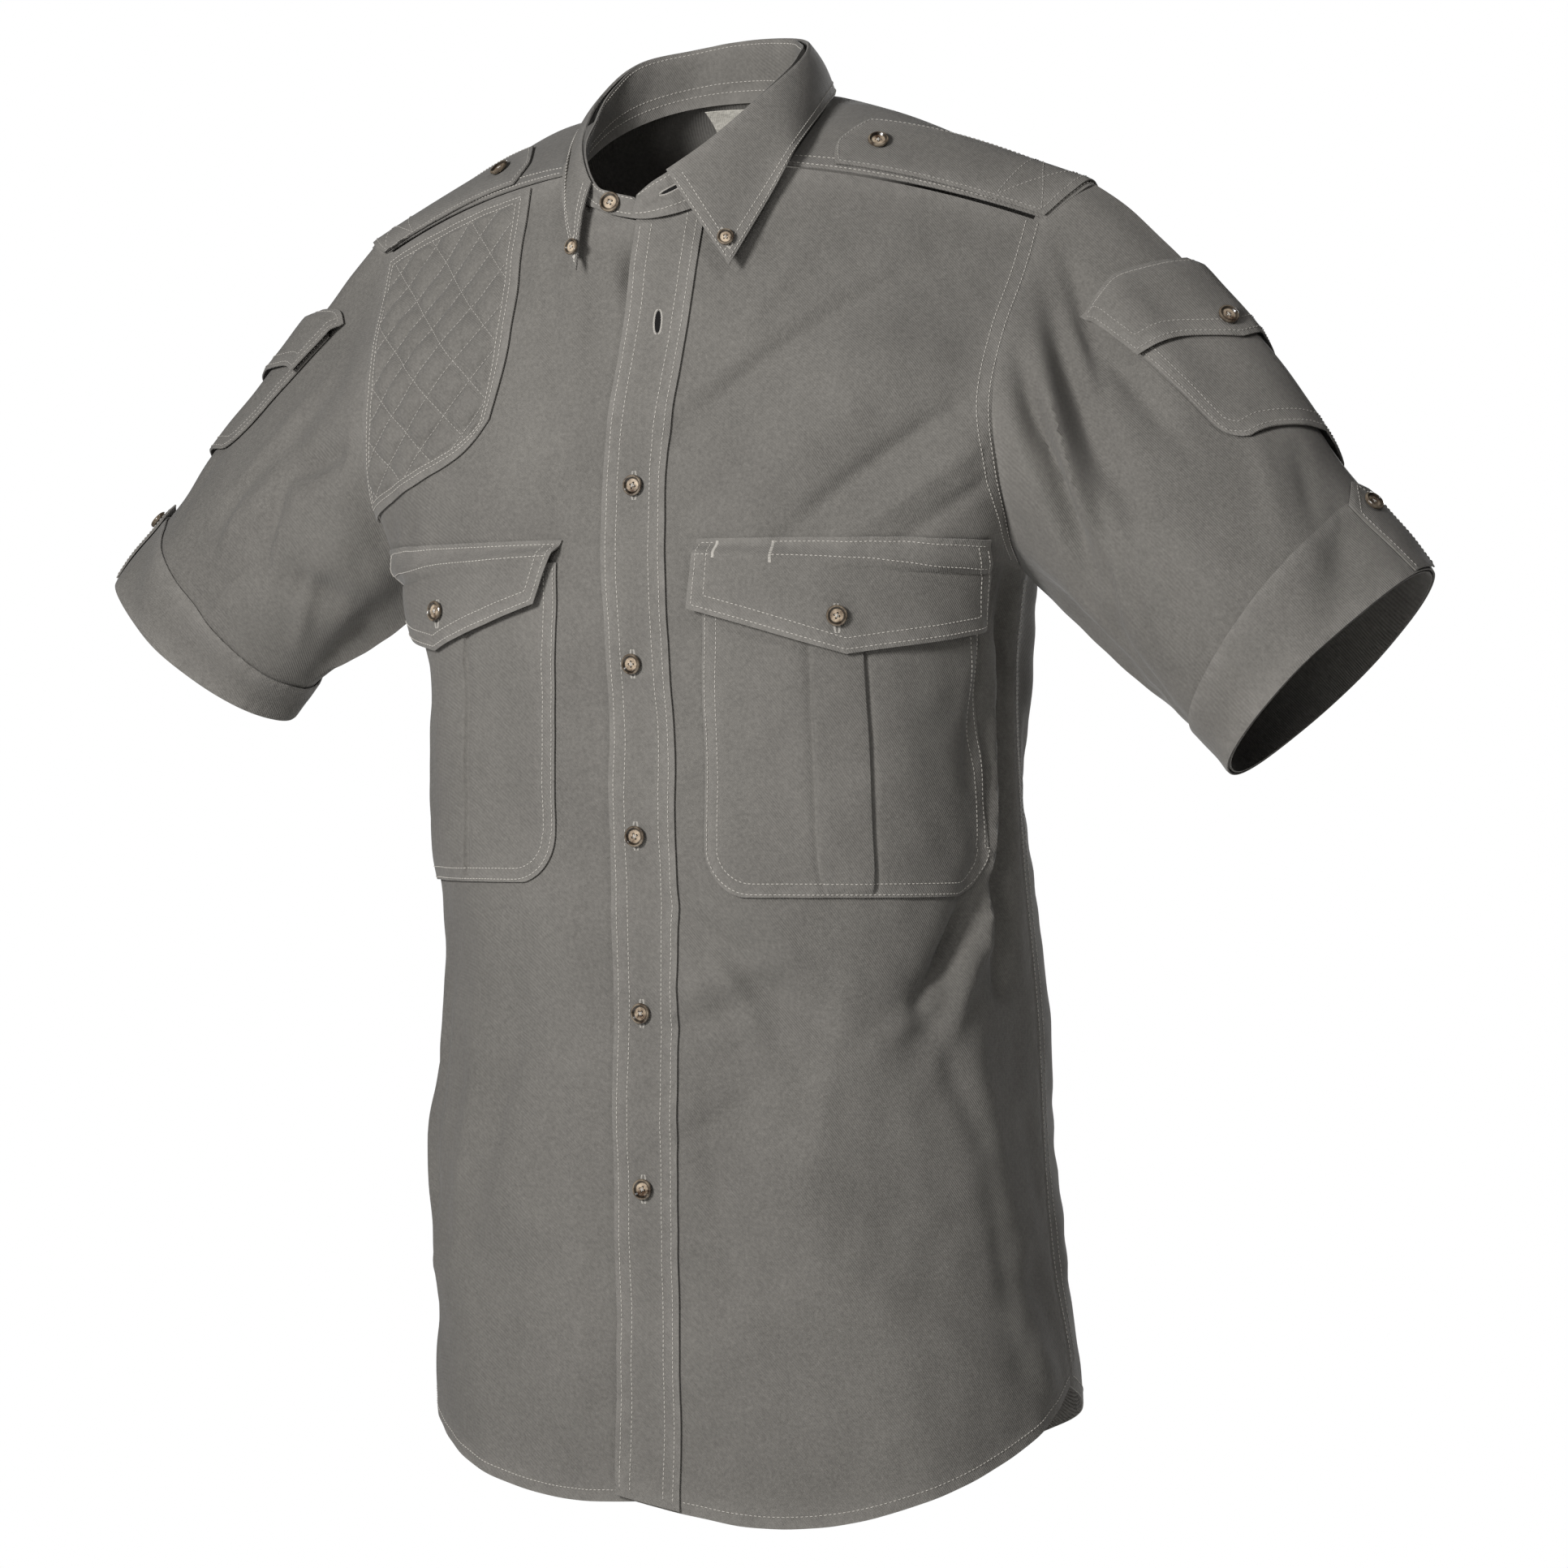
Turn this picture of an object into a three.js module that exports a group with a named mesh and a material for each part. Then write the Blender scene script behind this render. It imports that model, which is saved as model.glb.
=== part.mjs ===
// A short-sleeved safari shirt, worn by nobody but keeping the shape of a wearer.
// Millimetres, +Z up, the wearer faces -Y and the wearer's left is +X.
// The origin is where the shirt is held: midway between the shoulders, at the foot of the neck.
// Every cloth piece is a thin closed wall over a grid of points; a piece that lies on another
// is made from the points of the cloth below, moved out along its normal.
import * as THREE from "three";

// Driving sizes
const CLOTH = 1.2; // one layer of cotton twill, with its seam allowances
const BAND = 1.4; // a folded and stitched strip
const REST_GAP = 0.8; // between a piece and the cloth that it lies on
const ARMPIT = -218; // height of the foot of the armhole
const YOKE_ROW = 0; // row of the front yoke seam, as its height at the centre front
const SHOULDER_DROP = 34; // fall of the front yoke seam from neck to armhole
const BACK_SEAM = -62; // row of the back yoke seam at the centre back
const BACK_DROP = 18; // fall of the back yoke seam from the centre to the armhole
const PLACKET = 38; // width of the front band
const NECK = {
  width: 62,
  front: -84,
  back: 46,
  front_z: -30,
  back_z: 50,
  squareness: 2.3,
  rise: 0.77,
};
const SEAM_BOW = 2.2; // how late the front yoke seam falls towards the armhole
const NECK_SEAM_TURN = 64; // degrees round the neck from the centre front to the yoke seam
const BUTTON = { radius: 5.7, height: 2.6, rim: 0.9, dish: 0.8 };
const CLOTH_COLOUR = 0x6b6862;

// The torso at each height: half width, where its front, side and back lie, and how far the
// sides sway to the wearer's left
const TORSO = [
  { z: -760, width: 188, front: -73, side: 48, back: 150, sway: 9 },
  { z: -650, width: 184, front: -77, side: 50, back: 150, sway: 9 },
  { z: -600, width: 180, front: -79, side: 52, back: 149, sway: 3 },
  { z: -550, width: 177, front: -82, side: 54, back: 148, sway: 0 },
  { z: -456, width: 170, front: -85, side: 58, back: 144, sway: 0 },
  { z: -361, width: 169, front: -90, side: 38, back: 136, sway: 0 },
  { z: -269, width: 169, front: -94, side: 30, back: 132, sway: 0 },
  { z: -218, width: 177, front: -95, side: 22, back: 130, sway: 0 },
  { z: -174, width: 180, front: -95, side: 18, back: 130, sway: 0 },
  { z: -110, width: 180, front: -91, side: 15, back: 128, sway: 0 },
  { z: -60, width: 180, front: -86, side: 15, back: 116, sway: 0 },
  { z: 0, width: 180, front: -76, side: 15, back: 96, sway: 0 },
];

// Where each panel ends above the armpit, and how its section is bowed: p and q shape it
const FRONT_ARMHOLE = [
  { z: -218, x: 177, y: 22, p: 2.5, q: 2.5 },
  { z: -206, x: 184, y: -10, p: 2.5, q: 2.2 },
  { z: -192, x: 187, y: -25, p: 2.6, q: 1.8 },
  { z: -165, x: 189, y: -42, p: 2.7, q: 1.4 },
  { z: -118, x: 190, y: -52, p: 2.6, q: 1.1 },
  { z: -70, x: 193, y: -40, p: 1.9, q: 1.0 },
  { z: -30, x: 197, y: -20, p: 1.5, q: 1.0 },
  { z: 0, x: 200, y: -7, p: 1.3, q: 1.0 },
];
const BACK_ARMHOLE = [
  { z: -218, x: 177, y: 22, p: 2.5, q: 2.5 },
  { z: -204, x: 183, y: 42, p: 2.5, q: 2.2 },
  { z: -185, x: 187, y: 60, p: 2.6, q: 1.7 },
  { z: -150, x: 192, y: 74, p: 2.6, q: 1.3 },
  { z: -110, x: 197, y: 76, p: 2.4, q: 1.1 },
  { z: -62, x: 204, y: 64, p: 2.2, q: 1.0 },
];

// The hem: its height at each distance round from the centre, as shares of the way to the side seam
const FRONT_HEM = [
  { share: 0, left: -716, right: -716 },
  { share: 0.15, left: -724, right: -720 },
  { share: 0.3, left: -729, right: -720 },
  { share: 0.45, left: -726, right: -713 },
  { share: 0.6, left: -714, right: -701 },
  { share: 0.75, left: -697, right: -686 },
  { share: 0.88, left: -680, right: -670 },
  { share: 1, left: -660, right: -660 },
];
const BACK_HEM = [
  { share: 0, z: -738 },
  { share: 0.3, z: -733 },
  { share: 0.5, z: -708 },
  { share: 0.65, z: -692 },
  { share: 0.82, z: -676 },
  { share: 1, z: -660 },
];

// Sleeves: where the cuff is, its half sizes, and how far the cap leaves the shoulder
const SLEEVES = {
  left: {
    side: 1,
    leave: [0.85, -0.53],
    cuff: [355, 10, -275],
    axis: [0.7, 0.02, -0.71],
    tall: 73,
    deep: 58,
  },
  right: {
    side: -1,
    leave: [0.7, -0.71],
    cuff: [-343, 30, -254],
    axis: [-0.62, 0.04, -0.78],
    tall: 65,
    deep: 50,
  },
};

// Soft folds: each runs from one point to another of its cloth, in millimetres round from the
// centre and up, with a half width and a depth that is negative for a trough
const FRONT_FOLDS = [
  { from: [28, -150], to: [165, -36], wide: 13, deep: -3.5 },
  { from: [92, -206], to: [200, -108], wide: 12, deep: -3.5 },
  { from: [60, -186], to: [186, -68], wide: 13, deep: 3 },
  { from: [236, -228], to: [222, -430], wide: 16, deep: -7 },
  { from: [205, -395], to: [150, -470], wide: 20, deep: -7 },
  { from: [172, -430], to: [215, -560], wide: 17, deep: 7 },
  { from: [60, -420], to: [118, -470], wide: 14, deep: -3.5 },
  { from: [38, -402], to: [72, -450], wide: 12, deep: -3 },
  { from: [52, -480], to: [42, -560], wide: 14, deep: -2.5 },
  { from: [120, -560], to: [200, -575], wide: 16, deep: -4 },
  { from: [215, -600], to: [230, -700], wide: 20, deep: 8 },
  { from: [-200, -240], to: [-150, -120], wide: 12, deep: -2.5 },
  { from: [-215, -420], to: [-190, -540], wide: 15, deep: -4 },
  { from: [-165, -420], to: [-185, -640], wide: 16, deep: 4 },
  { from: [-60, -60], to: [-45, -130], wide: 10, deep: -3.5 },
];
const BACK_FOLDS = [
  { from: [205, -190], to: [90, -120], wide: 16, deep: -4 },
  { from: [-205, -190], to: [-100, -110], wide: 15, deep: -3.5 },
  { from: [215, -235], to: [150, -440], wide: 20, deep: -8 },
  { from: [-215, -235], to: [-140, -430], wide: 21, deep: -7 },
  { from: [70, -200], to: [90, -480], wide: 22, deep: 6 },
  { from: [-75, -210], to: [-95, -500], wide: 24, deep: 6 },
  { from: [0, -260], to: [10, -600], wide: 24, deep: -6 },
  { from: [150, -470], to: [165, -680], wide: 22, deep: 6 },
  { from: [-160, -480], to: [-150, -690], wide: 22, deep: 6 },
];
// On a sleeve the first number is degrees round from the top towards the front
const SLEEVE_FOLDS = {
  left: [
    { from: [62, 15], to: [108, 120], wide: 12, deep: -8 },
    { from: [82, 10], to: [128, 70], wide: 11, deep: -8 },
    { from: [42, 20], to: [62, 75], wide: 11, deep: -5 },
    { from: [25, 30], to: [40, 80], wide: 12, deep: 3 },
    { from: [110, 40], to: [80, 150], wide: 14, deep: 4 },
    { from: [30, 165], to: [55, 180], wide: 9, deep: -3 },
    { from: [-60, 20], to: [-110, 110], wide: 14, deep: -6 },
    { from: [-100, 40], to: [-75, 150], wide: 15, deep: 5 },
    { from: [160, 20], to: [170, 120], wide: 12, deep: -5 },
  ],
  right: [
    { from: [100, 12], to: [75, 70], wide: 10, deep: -6 },
    { from: [72, 78], to: [100, 135], wide: 10, deep: 6 },
    { from: [88, 80], to: [92, 150], wide: 13, deep: -7 },
    { from: [60, 30], to: [68, 130], wide: 12, deep: -4 },
    { from: [118, 90], to: [150, 60], wide: 11, deep: -6 },
    { from: [-60, 20], to: [-105, 110], wide: 14, deep: -6 },
    { from: [-100, 40], to: [-80, 150], wide: 15, deep: 5 },
    { from: [165, 20], to: [172, 110], wide: 12, deep: -5 },
  ],
};

const radians = (degrees) => (degrees * Math.PI) / 180;
const mix = (a, b, t) => a + (b - a) * t;
const clamp = (t, low = 0, high = 1) => Math.min(high, Math.max(low, t));
const smooth = (t) => clamp(t) ** 2 * (3 - 2 * clamp(t));
const vec = (x, y, z) => new THREE.Vector3(x, y, z);

// A column of a table at a place between its rows, on a smooth curve through them
function read(table, key, place, column) {
  const last = table.length - 1;
  let i = 0;
  while (i < last - 1 && place > table[i + 1][key]) i += 1;
  const [a, b] = [table[i], table[i + 1]];
  const [before, after] = [table[Math.max(0, i - 1)], table[Math.min(last, i + 2)]];
  const span = b[key] - a[key];
  const t = clamp((place - a[key]) / span);
  const slopeA = ((b[column] - before[column]) / (b[key] - before[key])) * span;
  const slopeB = ((after[column] - a[column]) / (after[key] - a[key])) * span;
  const [t2, t3] = [t * t, t * t * t];
  return (
    (2 * t3 - 3 * t2 + 1) * a[column] +
    (t3 - 2 * t2 + t) * slopeA +
    (3 * t2 - 2 * t3) * b[column] +
    (t3 - t2) * slopeB
  );
}

// Height of a fold at a point of its cloth, fading at both ends
function foldHeight(folds, across, up, acrossScale = 1) {
  let height = 0;
  for (const { from, to, wide, deep } of folds) {
    const [ax, az] = [from[0] * acrossScale, from[1]];
    const [dx, dz] = [to[0] * acrossScale - ax, to[1] - az];
    const along = ((across * acrossScale - ax) * dx + (up - az) * dz) / (dx * dx + dz * dz);
    const t = clamp(along);
    const away = Math.hypot(across * acrossScale - ax - dx * t, up - az - dz * t);
    const ends = 0.25 + 0.75 * Math.sin(Math.PI * clamp(t, 0.06, 0.94)) ** 0.7;
    height += deep * ends * Math.exp(-((away / wide) ** 2));
  }
  return height;
}

// Half of a torso section at a row: points from the centre to the side seam or armhole
const SECTION_STEPS = 40;
const sections = new Map();
function section(face, row) {
  const key = face + row.toFixed(3);
  if (sections.has(key)) return sections.get(key);
  const armhole = face === "front" ? FRONT_ARMHOLE : BACK_ARMHOLE;
  const middle = read(TORSO, "z", row, face);
  const above = row > ARMPIT;
  const at = (column) => read(armhole, "z", row, column);
  const endX = above ? at("x") : read(TORSO, "z", row, "width");
  const endY = above ? at("y") : read(TORSO, "z", row, "side");
  const [p, q] = above ? [at("p"), at("q")] : [armhole[0].p, armhole[0].q];
  const rise = smooth((row - ARMPIT) / (YOKE_ROW - ARMPIT));
  const drop = face === "front" ? SHOULDER_DROP * rise : BACK_DROP * rise;
  const points = [];
  for (let i = 0; i <= SECTION_STEPS; i += 1) {
    const turn = (i / SECTION_STEPS) * (Math.PI / 2);
    const share = Math.sin(turn) ** (2 / p);
    const y = endY + (middle - endY) * Math.max(0, 1 - share ** p) ** (1 / q);
    points.push(vec(endX * share, y, row - drop * share ** SEAM_BOW));
  }
  const lengths = [0];
  for (let i = 1; i < points.length; i += 1)
    lengths.push(lengths[i - 1] + points[i].distanceTo(points[i - 1]));
  const made = { points, lengths, reach: lengths[SECTION_STEPS] };
  sections.set(key, made);
  return made;
}

// A point of the smooth torso: millimetres round from the centre, and the row
function torso(face, across, row) {
  const { points, lengths, reach } = section(face, row);
  const away = Math.min(Math.abs(across), reach);
  let i = 1;
  while (i < SECTION_STEPS && lengths[i] < away) i += 1;
  const t = (away - lengths[i - 1]) / (lengths[i] - lengths[i - 1]);
  const point = points[i - 1].clone().lerp(points[i], t);
  if (across < 0) point.x = -point.x;
  point.x += read(TORSO, "z", row, "sway") * smooth(away / reach);
  return point;
}

const reach = (face, row) => section(face, row).reach;
const outward = (face) => (face === "front" ? 1 : -1);

// A point on the folded cloth of the front or back, lifted off it along the normal
function onTorso(face, across, row, lift = 0) {
  const step = 4;
  const folds = face === "front" ? FRONT_FOLDS : BACK_FOLDS;
  const u = torso(face, across + step, row).sub(torso(face, across - step, row));
  const v = torso(face, across, row + step).sub(torso(face, across, row - step));
  const normal = u.cross(v).normalize().multiplyScalar(outward(face));
  const edge = reach(face, row) - Math.abs(across);
  const calm = smooth(edge / 20) * smooth((YOKE_ROW + 6 - row) / 30);
  const height = foldHeight(folds, across, row) * calm;
  return torso(face, across, row).addScaledVector(normal, height + lift);
}

// A closed wall over a grid: its outer face is the grid, and its inner face lies a thickness in
function wall(grid, thickness, { closed = false, flip = false, turned = () => false } = {}) {
  const rows = grid.length;
  const columns = grid[0].length;
  const normals = grid.map((row, i) =>
    row.map((point, j) => {
      const wrap = (k) => (closed ? (k + columns) % columns : clamp(k, 0, columns - 1));
      const across = row[wrap(j + 1)].clone().sub(row[wrap(j - 1)]);
      const up = grid[Math.min(rows - 1, i + 1)][j].clone().sub(grid[Math.max(0, i - 1)][j]);
      return across.cross(up).normalize().multiplyScalar(flip ? -1 : 1);
    }),
  );
  const outer = grid.flat();
  const depth = (i, j) => (typeof thickness === "function" ? thickness(i, j) : thickness);
  const inner = grid.flatMap((row, i) =>
    row.map((point, j) => point.clone().addScaledVector(normals[i][j], -depth(i, j))),
  );
  const positions = [...outer, ...inner].flatMap((point) => point.toArray());
  const faces = [];
  const offset = outer.length;
  const quad = (a, b, c, d) => {
    if (flip) faces.push(a, c, b, a, d, c);
    else faces.push(a, b, c, a, c, d);
  };
  const turnedQuad = (a, b, c, d) => quad(b, c, d, a);
  const lastColumn = closed ? columns : columns - 1;
  const at = (i, j) => i * columns + (j % columns);
  for (let i = 0; i < rows - 1; i += 1) {
    for (let j = 0; j < lastColumn; j += 1) {
      const [a, b, c, d] = [at(i, j), at(i, j + 1), at(i + 1, j + 1), at(i + 1, j)];
      const face = turned(i, j) ? turnedQuad : quad;
      face(a, b, c, d);
      if (turned(i, j)) quad(offset + d, offset + c, offset + b, offset + a);
      else quad(offset + a, offset + d, offset + c, offset + b);
    }
  }
  const rim = (a, b) => quad(b, a, offset + a, offset + b);
  for (let j = 0; j < lastColumn; j += 1) {
    rim(at(0, j), at(0, j + 1));
    rim(at(rows - 1, j + 1), at(rows - 1, j));
  }
  if (!closed) {
    for (let i = 0; i < rows - 1; i += 1) {
      rim(at(i + 1, 0), at(i, 0));
      rim(at(i, columns - 1), at(i + 1, columns - 1));
    }
  }
  const geometry = new THREE.BufferGeometry();
  geometry.setAttribute("position", new THREE.Float32BufferAttribute(positions, 3));
  geometry.setIndex(faces);
  geometry.computeVertexNormals();
  return geometry;
}

const shirt = new THREE.Group();
const cloth = new THREE.MeshStandardMaterial({ color: CLOTH_COLOUR, roughness: 0.85, metalness: 0 });
const labelCloth = new THREE.MeshStandardMaterial({ color: 0xcfccc4, roughness: 0.7, metalness: 0 });
const horn = new THREE.MeshStandardMaterial({ color: 0x6a5647, roughness: 0.3, metalness: 0 });

function add(name, geometry, material = cloth) {
  const mesh = new THREE.Mesh(geometry, material);
  mesh.name = name;
  shirt.add(mesh);
}

const steps = (low, high, count) =>
  Array.from({ length: count + 1 }, (unused, i) => mix(low, high, i / count));

// The neck seam: a tilted, slightly squared ring, by degrees round from the centre front
function neckRing(degrees) {
  const turn = radians(degrees);
  const power = 2 / NECK.squareness;
  const middle = (NECK.front + NECK.back) / 2;
  const half = (NECK.back - NECK.front) / 2;
  const x = NECK.width * Math.sign(Math.sin(turn)) * Math.abs(Math.sin(turn)) ** power;
  const y = middle - half * Math.sign(Math.cos(turn)) * Math.abs(Math.cos(turn)) ** power;
  const t = (y - NECK.front) / (NECK.back - NECK.front);
  return vec(x, y, mix(NECK.front_z, NECK.back_z, Math.max(0, t) ** NECK.rise));
}

// The row where the front panels stop: the neck seam, then the yoke seam
const NECK_HALF = neckRing(NECK_SEAM_TURN).x;
const SHOULDER_HALF = 200;
function frontTop(across) {
  const away = Math.abs(torso("front", across, -20).x);
  if (away >= NECK_HALF) return YOKE_ROW;
  const turn = Math.asin((away / NECK.width) ** (NECK.squareness / 2));
  const drop = SHOULDER_DROP * (away / SHOULDER_HALF) ** SEAM_BOW;
  return neckRing((turn * 180) / Math.PI).z + drop;
}

const frontHem = (side, share) => read(FRONT_HEM, "share", clamp(share), side);
const backHem = (share) => read(BACK_HEM, "share", clamp(share), "z");

// Rows of a panel: evenly up to the armpit, then closer together just above it
const ROWS_BELOW = 13;
const ROWS_ABOVE = 10;
const PANEL_ROWS = steps(0, ROWS_BELOW + ROWS_ABOVE, ROWS_BELOW + ROWS_ABOVE);
function panelRow(hem, top, step) {
  if (step <= ROWS_BELOW) return mix(hem, ARMPIT, step / ROWS_BELOW);
  return mix(ARMPIT, top, ((step - ROWS_BELOW) / ROWS_ABOVE) ** 1.5);
}

// A front panel, from its overlapping edge to the side seam and armhole
const LEFT_EDGE = [
  { z: -730, across: -19 },
  { z: -565, across: -17.5 },
  { z: -304, across: -14.5 },
  { z: -174, across: -18.5 },
  { z: -88, across: -7.5 },
  { z: -30, across: -4.5 },
];
const RIGHT_EDGE = 17; // how far the right front passes the centre, under the left
function frontEdge(side, row) {
  return side === "left" ? read(LEFT_EDGE, "z", row, "across") : RIGHT_EDGE;
}
const SIDE_GAP = 0.3;
const UNDERLAP = 2.6; // how far the right front dips below the left
const OPEN_BUTTON = { row: -87, across: 1.2, room: 3, span: 40 }; // the one left unfastened
function frontPoint(side, across, row, lift = 0) {
  if (side === "left") return onTorso("front", across, row, lift);
  const nearButton = smooth(1.4 - Math.abs(row - OPEN_BUTTON.row) / OPEN_BUTTON.span);
  const under = (UNDERLAP + OPEN_BUTTON.room * nearButton) * smooth((across + 44) / 20);
  return onTorso("front", across, row, lift - under);
}
// Columns from the edge to the side seam, closer together where the body turns
const FRONT_COLUMNS = [
  ...steps(0, 0.54, 6),
  ...steps(0.6, 0.88, 7),
  0.94,
  0.985,
  1,
];
function frontPanel(side) {
  const sign = side === "left" ? 1 : -1;
  return PANEL_ROWS.map((step) =>
    FRONT_COLUMNS.map((share) => {
      const hem = frontHem(side, share);
      let across = sign * share * reach("front", ARMPIT);
      let row = 0;
      for (let pass = 0; pass < 3; pass += 1) {
        row = panelRow(hem, frontTop(across), step);
        const end = sign * (reach("front", row) - SIDE_GAP);
        across = mix(frontEdge(side, row), end, share);
      }
      return frontPoint(side, across, row);
    }),
  );
}
add("front_left", wall(frontPanel("left"), CLOTH));
add("front_right", wall(frontPanel("right"), CLOTH, { flip: true }));

// The back panel, from side seam to side seam
const BACK_HALF = [...steps(0, 0.6, 5), ...steps(0.68, 0.95, 5), 0.985, 1];
const BACK_COLUMNS = [...BACK_HALF.slice(1).map((share) => -share).reverse(), ...BACK_HALF];
function backPanel() {
  return PANEL_ROWS.map((step) =>
    BACK_COLUMNS.map((share) => {
      const row = panelRow(backHem(Math.abs(share)), BACK_SEAM, step);
      return onTorso("back", share * (reach("back", row) - SIDE_GAP), row);
    }),
  );
}
add("back", wall(backPanel(), CLOTH, { flip: true }));

// The front band: a strip on the edge of the left front
const BAND_TOP = 0.985;
const BAND_HEM_SHARE = 0.13; // share of the front's width that the band takes at the hem
function placket() {
  return steps(0, BAND_TOP, 24).map((rowShare) =>
    [0.02, 0.35, 0.68, 1].map((share) => {
      const edge = (row) => frontEdge("left", row) + share * PLACKET;
      const hem = frontHem("left", share * BAND_HEM_SHARE) + 1;
      let row = mix(hem, NECK.front_z, rowShare);
      row = mix(hem, frontTop(edge(row)), rowShare);
      return frontPoint("left", edge(row), row, REST_GAP + BAND);
    }),
  );
}
add("placket", wall(placket(), BAND));

// A chest pocket: square at the top, round at its lower corners, with a box pleat down the middle.
// The far edge of each is drawn round the body a little, and the two fronts hang differently
const POCKETS = {
  left: { inner_low: 40, inner_top: 42, outer_low: 206, outer_top: 193, pleat: 112, low: -393 },
  right: { inner_low: 51, inner_top: 46, outer_low: 206, outer_top: 196, pleat: 119, low: -386 },
};
const POCKET = { top: -214, corner: 26, swell: 3.5 };
const PLEAT = { half: 13, raise: 1.6, edge: 1.2 };
const OFF_PANEL = REST_GAP + CLOTH; // lift of the first layer over a panel
function pocketColumns({ inner_top, outer_top, pleat }) {
  const shareOf = (across) => (across - inner_top) / (outer_top - inner_top);
  const edges = [-PLEAT.half - PLEAT.edge, -PLEAT.half, 0, PLEAT.half, PLEAT.half + PLEAT.edge];
  const [first, last] = [shareOf(pleat + edges[0]), shareOf(pleat + edges[4])];
  return [
    ...steps(0, first, 3).slice(0, -1),
    ...edges.map((edge) => shareOf(pleat + edge)),
    ...steps(last, 1, 6).slice(1),
  ];
}
const POCKET_ROWS = [0, 0.02, 0.05, 0.09, 0.14, 0.25, 0.4, 0.55, 0.7, 0.85, 1];
const onPleat = (j) => j >= 4 && j <= 6;
function cornerInset(height, radius) {
  if (height >= radius) return 0;
  return radius - Math.sqrt(radius ** 2 - (radius - height) ** 2);
}
function chestPocket(side) {
  const sign = side === "left" ? 1 : -1;
  const pocket = POCKETS[side];
  return POCKET_ROWS.map((rowShare) =>
    pocketColumns(pocket).map((share, j) => {
      const row = mix(pocket.low, POCKET.top, rowShare);
      const inset = cornerInset(row - pocket.low + 0.6, POCKET.corner);
      const inner = mix(pocket.inner_low, pocket.inner_top, rowShare) + inset;
      const outer = mix(pocket.outer_low, pocket.outer_top, rowShare) - inset;
      const belly = Math.sin(Math.PI * share) * Math.sin(Math.PI * rowShare);
      const raise = onPleat(j) ? PLEAT.raise : 0;
      const lift = OFF_PANEL + POCKET.swell * belly + raise;
      return frontPoint(side, sign * mix(inner, outer, share), row, lift);
    }),
  );
}
const pocketDepth = (i, j) => CLOTH + (onPleat(j) ? PLEAT.raise : 0);

// A pocket flap: straight along its top, pointed in the middle of its lower edge
const FLAPS = {
  left: { inner_top: 38, inner_low: 35, outer: 200, top: -203, inner: -240, point: -264, outer_z: -250 },
  right: { inner_top: 43, inner_low: 57, outer: 202, top: -202, inner: -236, point: -259, outer_z: -244 },
};
const FLAP_LIFT = 6;
const FLAP_ROWS = [0, 0.25, 0.5, 0.7, 0.84, 0.95, 1];
const FLAP_COLUMNS = 11;
function chestFlap(side) {
  const sign = side === "left" ? 1 : -1;
  const flap = FLAPS[side];
  return FLAP_ROWS.map((rowShare) =>
    steps(0, 1, FLAP_COLUMNS).map((share) => {
      const half = share < 0.5 ? share / 0.5 : (1 - share) / 0.5;
      const low = mix(share < 0.5 ? flap.inner : flap.outer_z, flap.point, half);
      const row = mix(low, flap.top, rowShare);
      const across = mix(mix(flap.inner_low, flap.inner_top, rowShare), flap.outer, share);
      const belly = POCKET.swell * Math.sin(Math.PI * share);
      const lift = OFF_PANEL + (FLAP_LIFT + belly * 0.6) * smooth((0.95 - rowShare) * 7);
      return frontPoint(side, sign * across, row, lift);
    }),
  );
}
for (const side of ["left", "right"]) {
  const flip = side === "right";
  add("chest_pocket_" + side, wall(chestPocket(side), pocketDepth, { flip }));
  add("chest_flap_" + side, wall(chestFlap(side), CLOTH, { flip }));
}

// The quilted patch of the right shoulder: straight by the placket, curved down to the armhole
const PATCH = { top: -2.5, rows: 14, columns: 12, ridge: 1.1, seam: 3.5, lift: OFF_PANEL + 0.15 };
const PATCH_INNER = [
  { up: 0, across: 91 },
  { up: 0.2, across: 83 },
  { up: 0.45, across: 80 },
  { up: 0.7, across: 81 },
  { up: 1, across: 84 },
];
const PATCH_LOW = [
  { out: 0, z: -133 },
  { out: 0.15, z: -149 },
  { out: 0.35, z: -160 },
  { out: 0.7, z: -174 },
  { out: 1, z: -184 },
];
// Points lie on the corners and the middles of the diamonds; a middle stands up
const isMiddle = (i, j) => (i + j) % 2 === 1;
function quiltedPatch() {
  return steps(0, 1, PATCH.rows).map((up, i) =>
    steps(0, 1, PATCH.columns).map((out, j) => {
      const row = mix(read(PATCH_LOW, "out", out, "z"), PATCH.top, up);
      const end = reach("front", row) - PATCH.seam;
      const across = mix(read(PATCH_INNER, "up", up, "across"), end, out);
      const edge = i === 0 || j === 0 || i === PATCH.rows || j === PATCH.columns;
      const swell = isMiddle(i, j) && !edge ? PATCH.ridge : 0;
      return frontPoint("right", -across, row, PATCH.lift + swell);
    }),
  );
}
add("quilted_patch", wall(quiltedPatch(), CLOTH, { flip: true, turned: isMiddle }));

// Points along a path, spread evenly by length
function evenly(points, count) {
  const curve = new THREE.CatmullRomCurve3(points, false, "centripetal");
  curve.arcLengthDivisions = 400;
  return curve.getSpacedPoints(count);
}

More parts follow.
